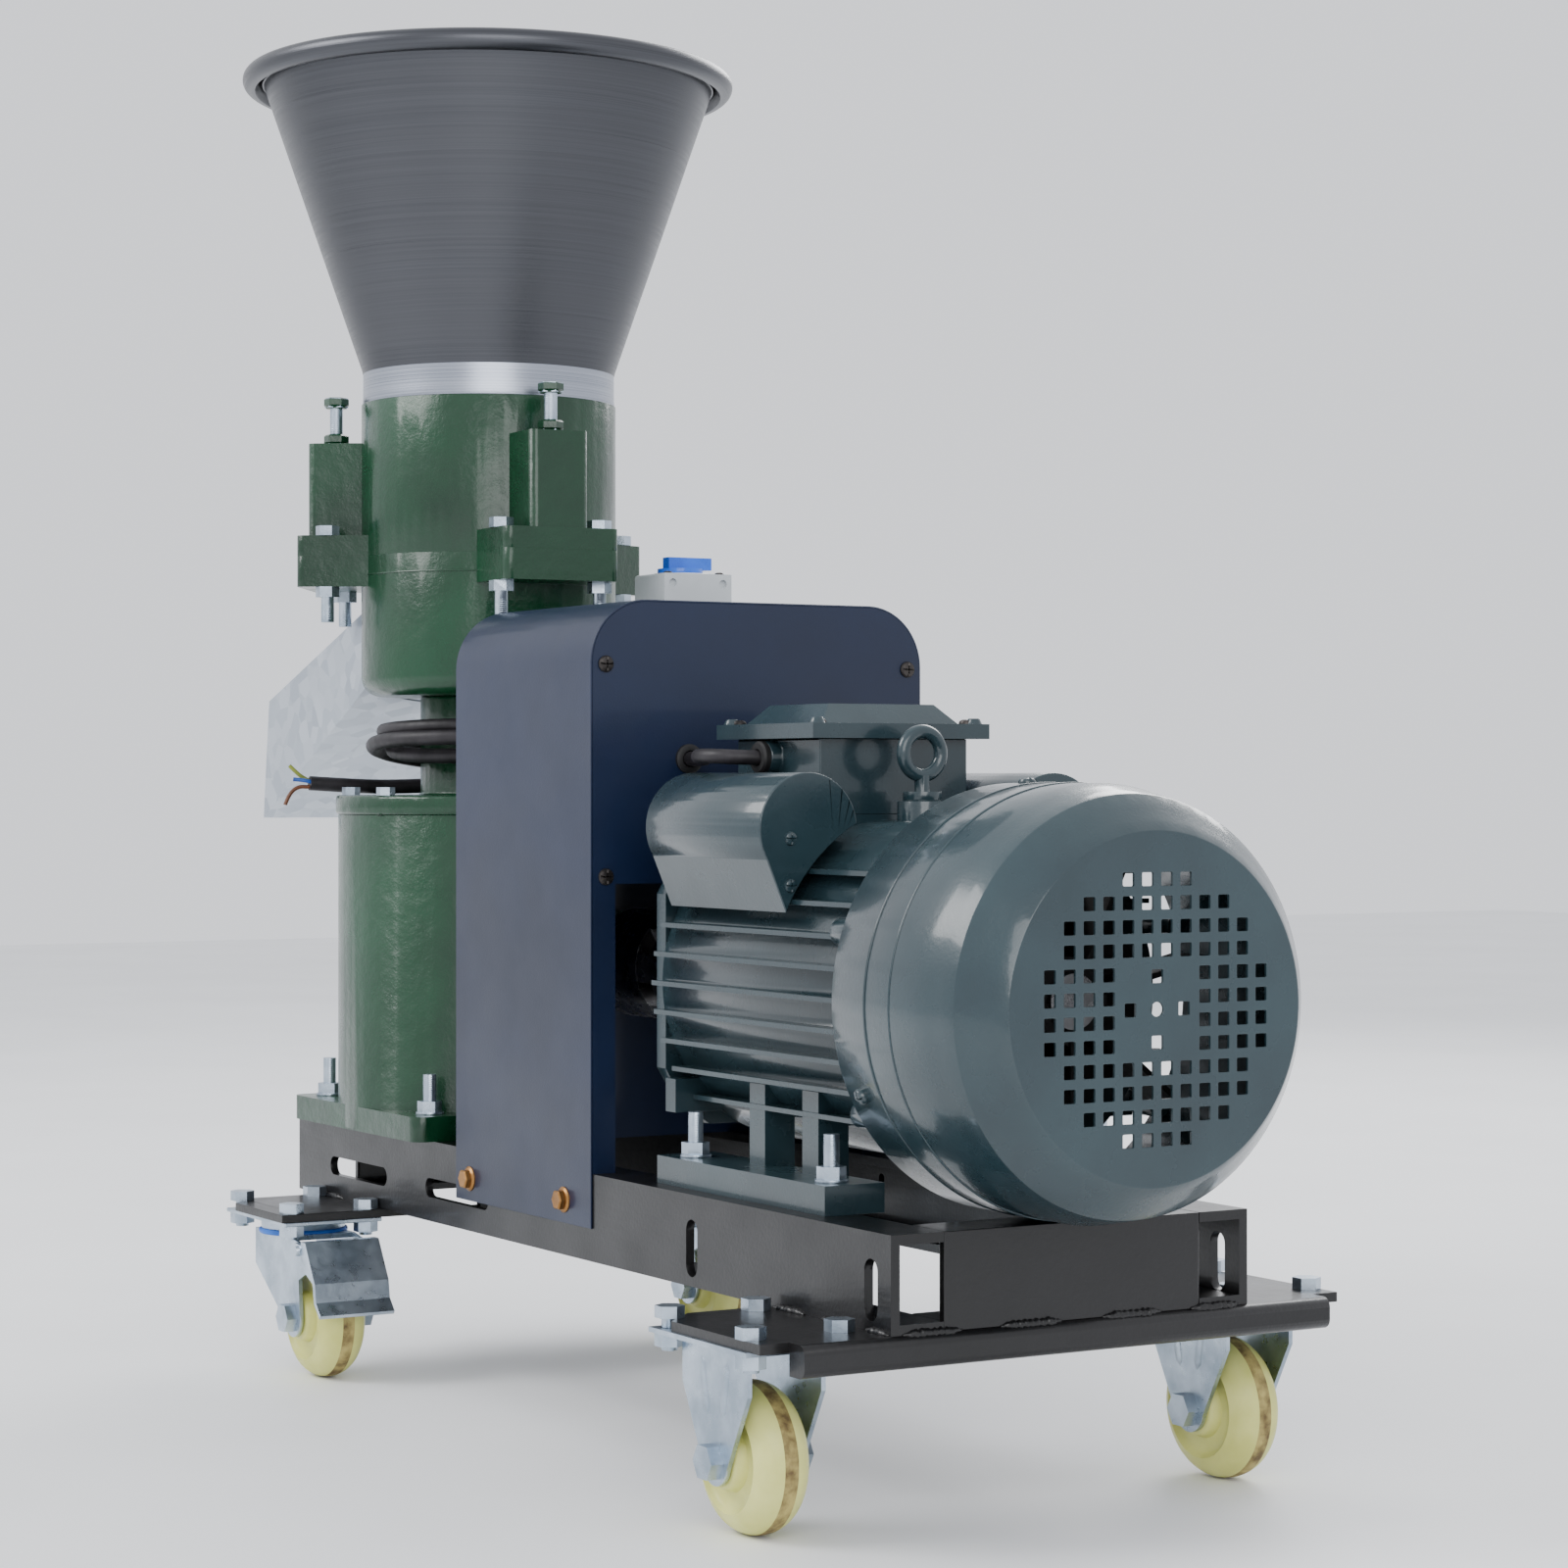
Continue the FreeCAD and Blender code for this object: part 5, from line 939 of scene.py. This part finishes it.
for side, centre_y in (("near", -138), ("far", 138)):
    pivot = place(-277, centre_y, 0)
    lathe("race_seal_" + side, torus_profile(0.0262, 0.0017, 0.0868, squash=0.8), Vector((pivot.x, pivot.y, 0)), "z",
          seal_blue, "swivel_" + side, steps=72)
for side in ("near", "far"):
    low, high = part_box("rigid_fork_" + side)
    wheel_low, wheel_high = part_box("rigid_wheel_" + side)
    axle = (wheel_low + wheel_high) / 2
    for sign in (-1, 1):
        face = axle.y + sign * 0.0217
        for shift in (-0.010, 0.010):
            rib(f"fork_rib_{side}_{sign + 1}_{int((shift + 0.01) * 1000)}", (axle.x + shift * 1.3, face, 0.088),
                (axle.x + shift * 0.7, face, 0.058), (0, sign, 0), 0.006, 0.0009, plated, "root")
print("seals and ribs placed")

# %% [markdown]
# ### Weld beads and casting lines
# The carriers are stick-welded to the rails in short runs and painted over, so the beads are uneven. The pot
# shows the line where it was faced on the lathe.


# %% Weld beads
def weld_bead(name, start, end, radius):
    """A rippled bead between two points, as a tube whose rings swell and wander."""
    start, end = Vector(start), Vector(end)
    along = (end - start).normalized()
    side = along.orthogonal().normalized()
    up = along.cross(side)
    count = max(6, int((end - start).length / 0.0011))
    tool = bmesh.new()
    rows = []
    for i in range(count + 1):
        share = i / count
        ends = min(1.0, 4 * share + 0.25, 4 * (1 - share) + 0.25)
        far = radius * ends * (1 + 0.16 * math.sin(i * 2.1) + chance.uniform(-0.1, 0.1))
        drift = side * chance.uniform(-0.0003, 0.0003) + up * chance.uniform(-0.0003, 0.0003)
        middle_spot = start + (end - start) * share + drift
        rows.append([tool.verts.new(middle_spot + (side * math.cos(a) + up * math.sin(a)) * far)
                     for a in (2 * math.pi * j / 10 for j in range(10))])
    for lower, upper in zip(rows, rows[1:]):
        for j in range(10):
            tool.faces.new((lower[j], lower[(j + 1) % 10], upper[(j + 1) % 10], upper[j]))
    tool.faces.new(rows[0])
    tool.faces.new(rows[-1])
    bmesh.ops.recalc_face_normals(tool, faces=tool.faces)
    mesh = bpy.data.meshes.new(name)
    tool.to_mesh(mesh)
    tool.free()
    return put(name, mesh, base_coat, "root", 80)


rail_low, rail_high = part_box("near_rail")
far_low, far_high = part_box("far_rail")
runs = []
for outer in (rail_low.y, far_high.y):
    for low_x, high_x in ((0.276, 0.306), (0.322, 0.352), (0.364, 0.384), (-0.296, -0.262), (-0.244, -0.208)):
        runs.append(((low_x, outer, 0.1022), (high_x, outer, 0.1022)))
for low_y, high_y in ((-0.096, -0.062), (-0.04, -0.004), (0.02, 0.056), (0.074, 0.104)):
    runs.append(((rail_high.x, low_y, 0.1022), (rail_high.x, high_y, 0.1022)))
for number, (start, end) in enumerate(runs):
    weld_bead(f"weld_bead_{number + 1}", start, end, 0.0023)
lathe("pot_faced_line", torus_profile(0.0799, 0.0006, 0.4945, 8), Vector((MILL.x, MILL.y, 0)), "z", enamel, "root",
      steps=120)
print("laid", len(runs), "weld beads")

# %% [markdown]
# ### Cord sleeve and dial
# Where the supply cord leaves the switch box a rubber sleeve, thick at the box and thin at its tip, keeps it
# from kinking. The lever turns over a white dial ring.

# %% Sleeve and dial
sleeve_path = bpy.data.curves.new("supply_sleeve", "CURVE")
sleeve_path.dimensions = "3D"
sleeve_path.bevel_depth = 1
sleeve_path.bevel_resolution = 6
sleeve_path.use_fill_caps = True
line = sleeve_path.splines.new("POLY")
sleeve_points = [(drop[0][0], drop[0][1], 0.3925 - 0.0013 * i) for i in range(17)]
line.points.add(len(sleeve_points) - 1)
for i, (point, spot) in enumerate(zip(line.points, sleeve_points)):
    point.co = (*spot, 1)
    point.radius = 0.0074 - 0.0022 * i / 16 + (0.0005 if i % 3 == 1 and 2 < i < 15 else 0)
sleeve = bpy.data.objects.new("supply_sleeve", sleeve_path)
bpy.context.scene.collection.objects.link(sleeve)
sleeve_path.materials.append(soft_black.material)
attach(sleeve, "root")
dial_centre = Vector((place(-144.3, 57, 0).x, place(-144.3, 57, 0).y, 0))
switch_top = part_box("switch_box")[1].z
lathe("switch_dial", [(0.0143, switch_top), (0.0143, switch_top + 0.0008), (0.0176, switch_top + 0.0008),
                      (0.0180, switch_top + 0.0003), (0.0180, switch_top)], dial_centre, "z", white_dial, "root",
      steps=72)

# %% [markdown]
# ## Floor and light
# The mill stands on a plain pale floor under a soft box from the left and above, with a weaker one on the
# right and one behind, so each turned surface gets a clear bright side and a darker one.

# %% Floor and lights
floor_mesh = bpy.data.meshes.new("floor")
floor_mesh.from_pydata([(-6, -6, 0), (6, -6, 0), (6, 6, 0), (-6, 6, 0)], [], [(0, 1, 2, 3)])
floor = bpy.data.objects.new("floor", floor_mesh)
bpy.context.scene.collection.objects.link(floor)
floor.location.z = cad_box[0][2] - 0.0002
pale = Finish("pale_floor")
pale.colour(pale.ramp(pale.noise(3, 3), [(0.3, tone(236, 237, 238)), (0.7, tone(242, 243, 244))]))
pale.roughness(pale.spread(pale.noise(8, 3), 0.5, 0.6))
floor_mesh.materials.append(pale.material)
world = bpy.data.worlds.new("studio")
world.use_nodes = True
world.node_tree.nodes["Background"].inputs["Color"].default_value = (0.93, 0.95, 1.0, 1)
world.node_tree.nodes["Background"].inputs["Strength"].default_value = 1.25
bpy.context.scene.world = world


def softbox(name, spot, aim, width, power):
    """An area light, turned so that it shines at a point."""
    light = bpy.data.lights.new(name, "AREA")
    light.shape = "RECTANGLE"
    light.size = width
    light.size_y = width * 0.8
    light.energy = power
    made = bpy.data.objects.new(name, light)
    bpy.context.scene.collection.objects.link(made)
    made.location = spot
    made.rotation_euler = (Vector(aim) - Vector(spot)).to_track_quat("-Z", "Y").to_euler()
    return made


heart = (-0.05, 0.0, 0.35)
key_light = softbox("key_light", (-0.9, -2.2, 2.1), heart, 1.6, 58)
fill_light = softbox("fill_light", (2.4, -1.1, 1.3), heart, 1.8, 34)
rim_light = softbox("rim_light", (-1.4, 2.1, 1.9), heart, 1.4, 40)

# %% [markdown]
# ## The free cord
# The coil, its drop and its stripped tail are one loose cord: it leaves the switch box, lies in turns on the
# gear case, and ends in bare cores.

cord_length = curve_length(supply_cord)
print("supply cord is", round(cord_length, 3), "m long")

# %% Update the scene
bpy.context.view_layer.update()
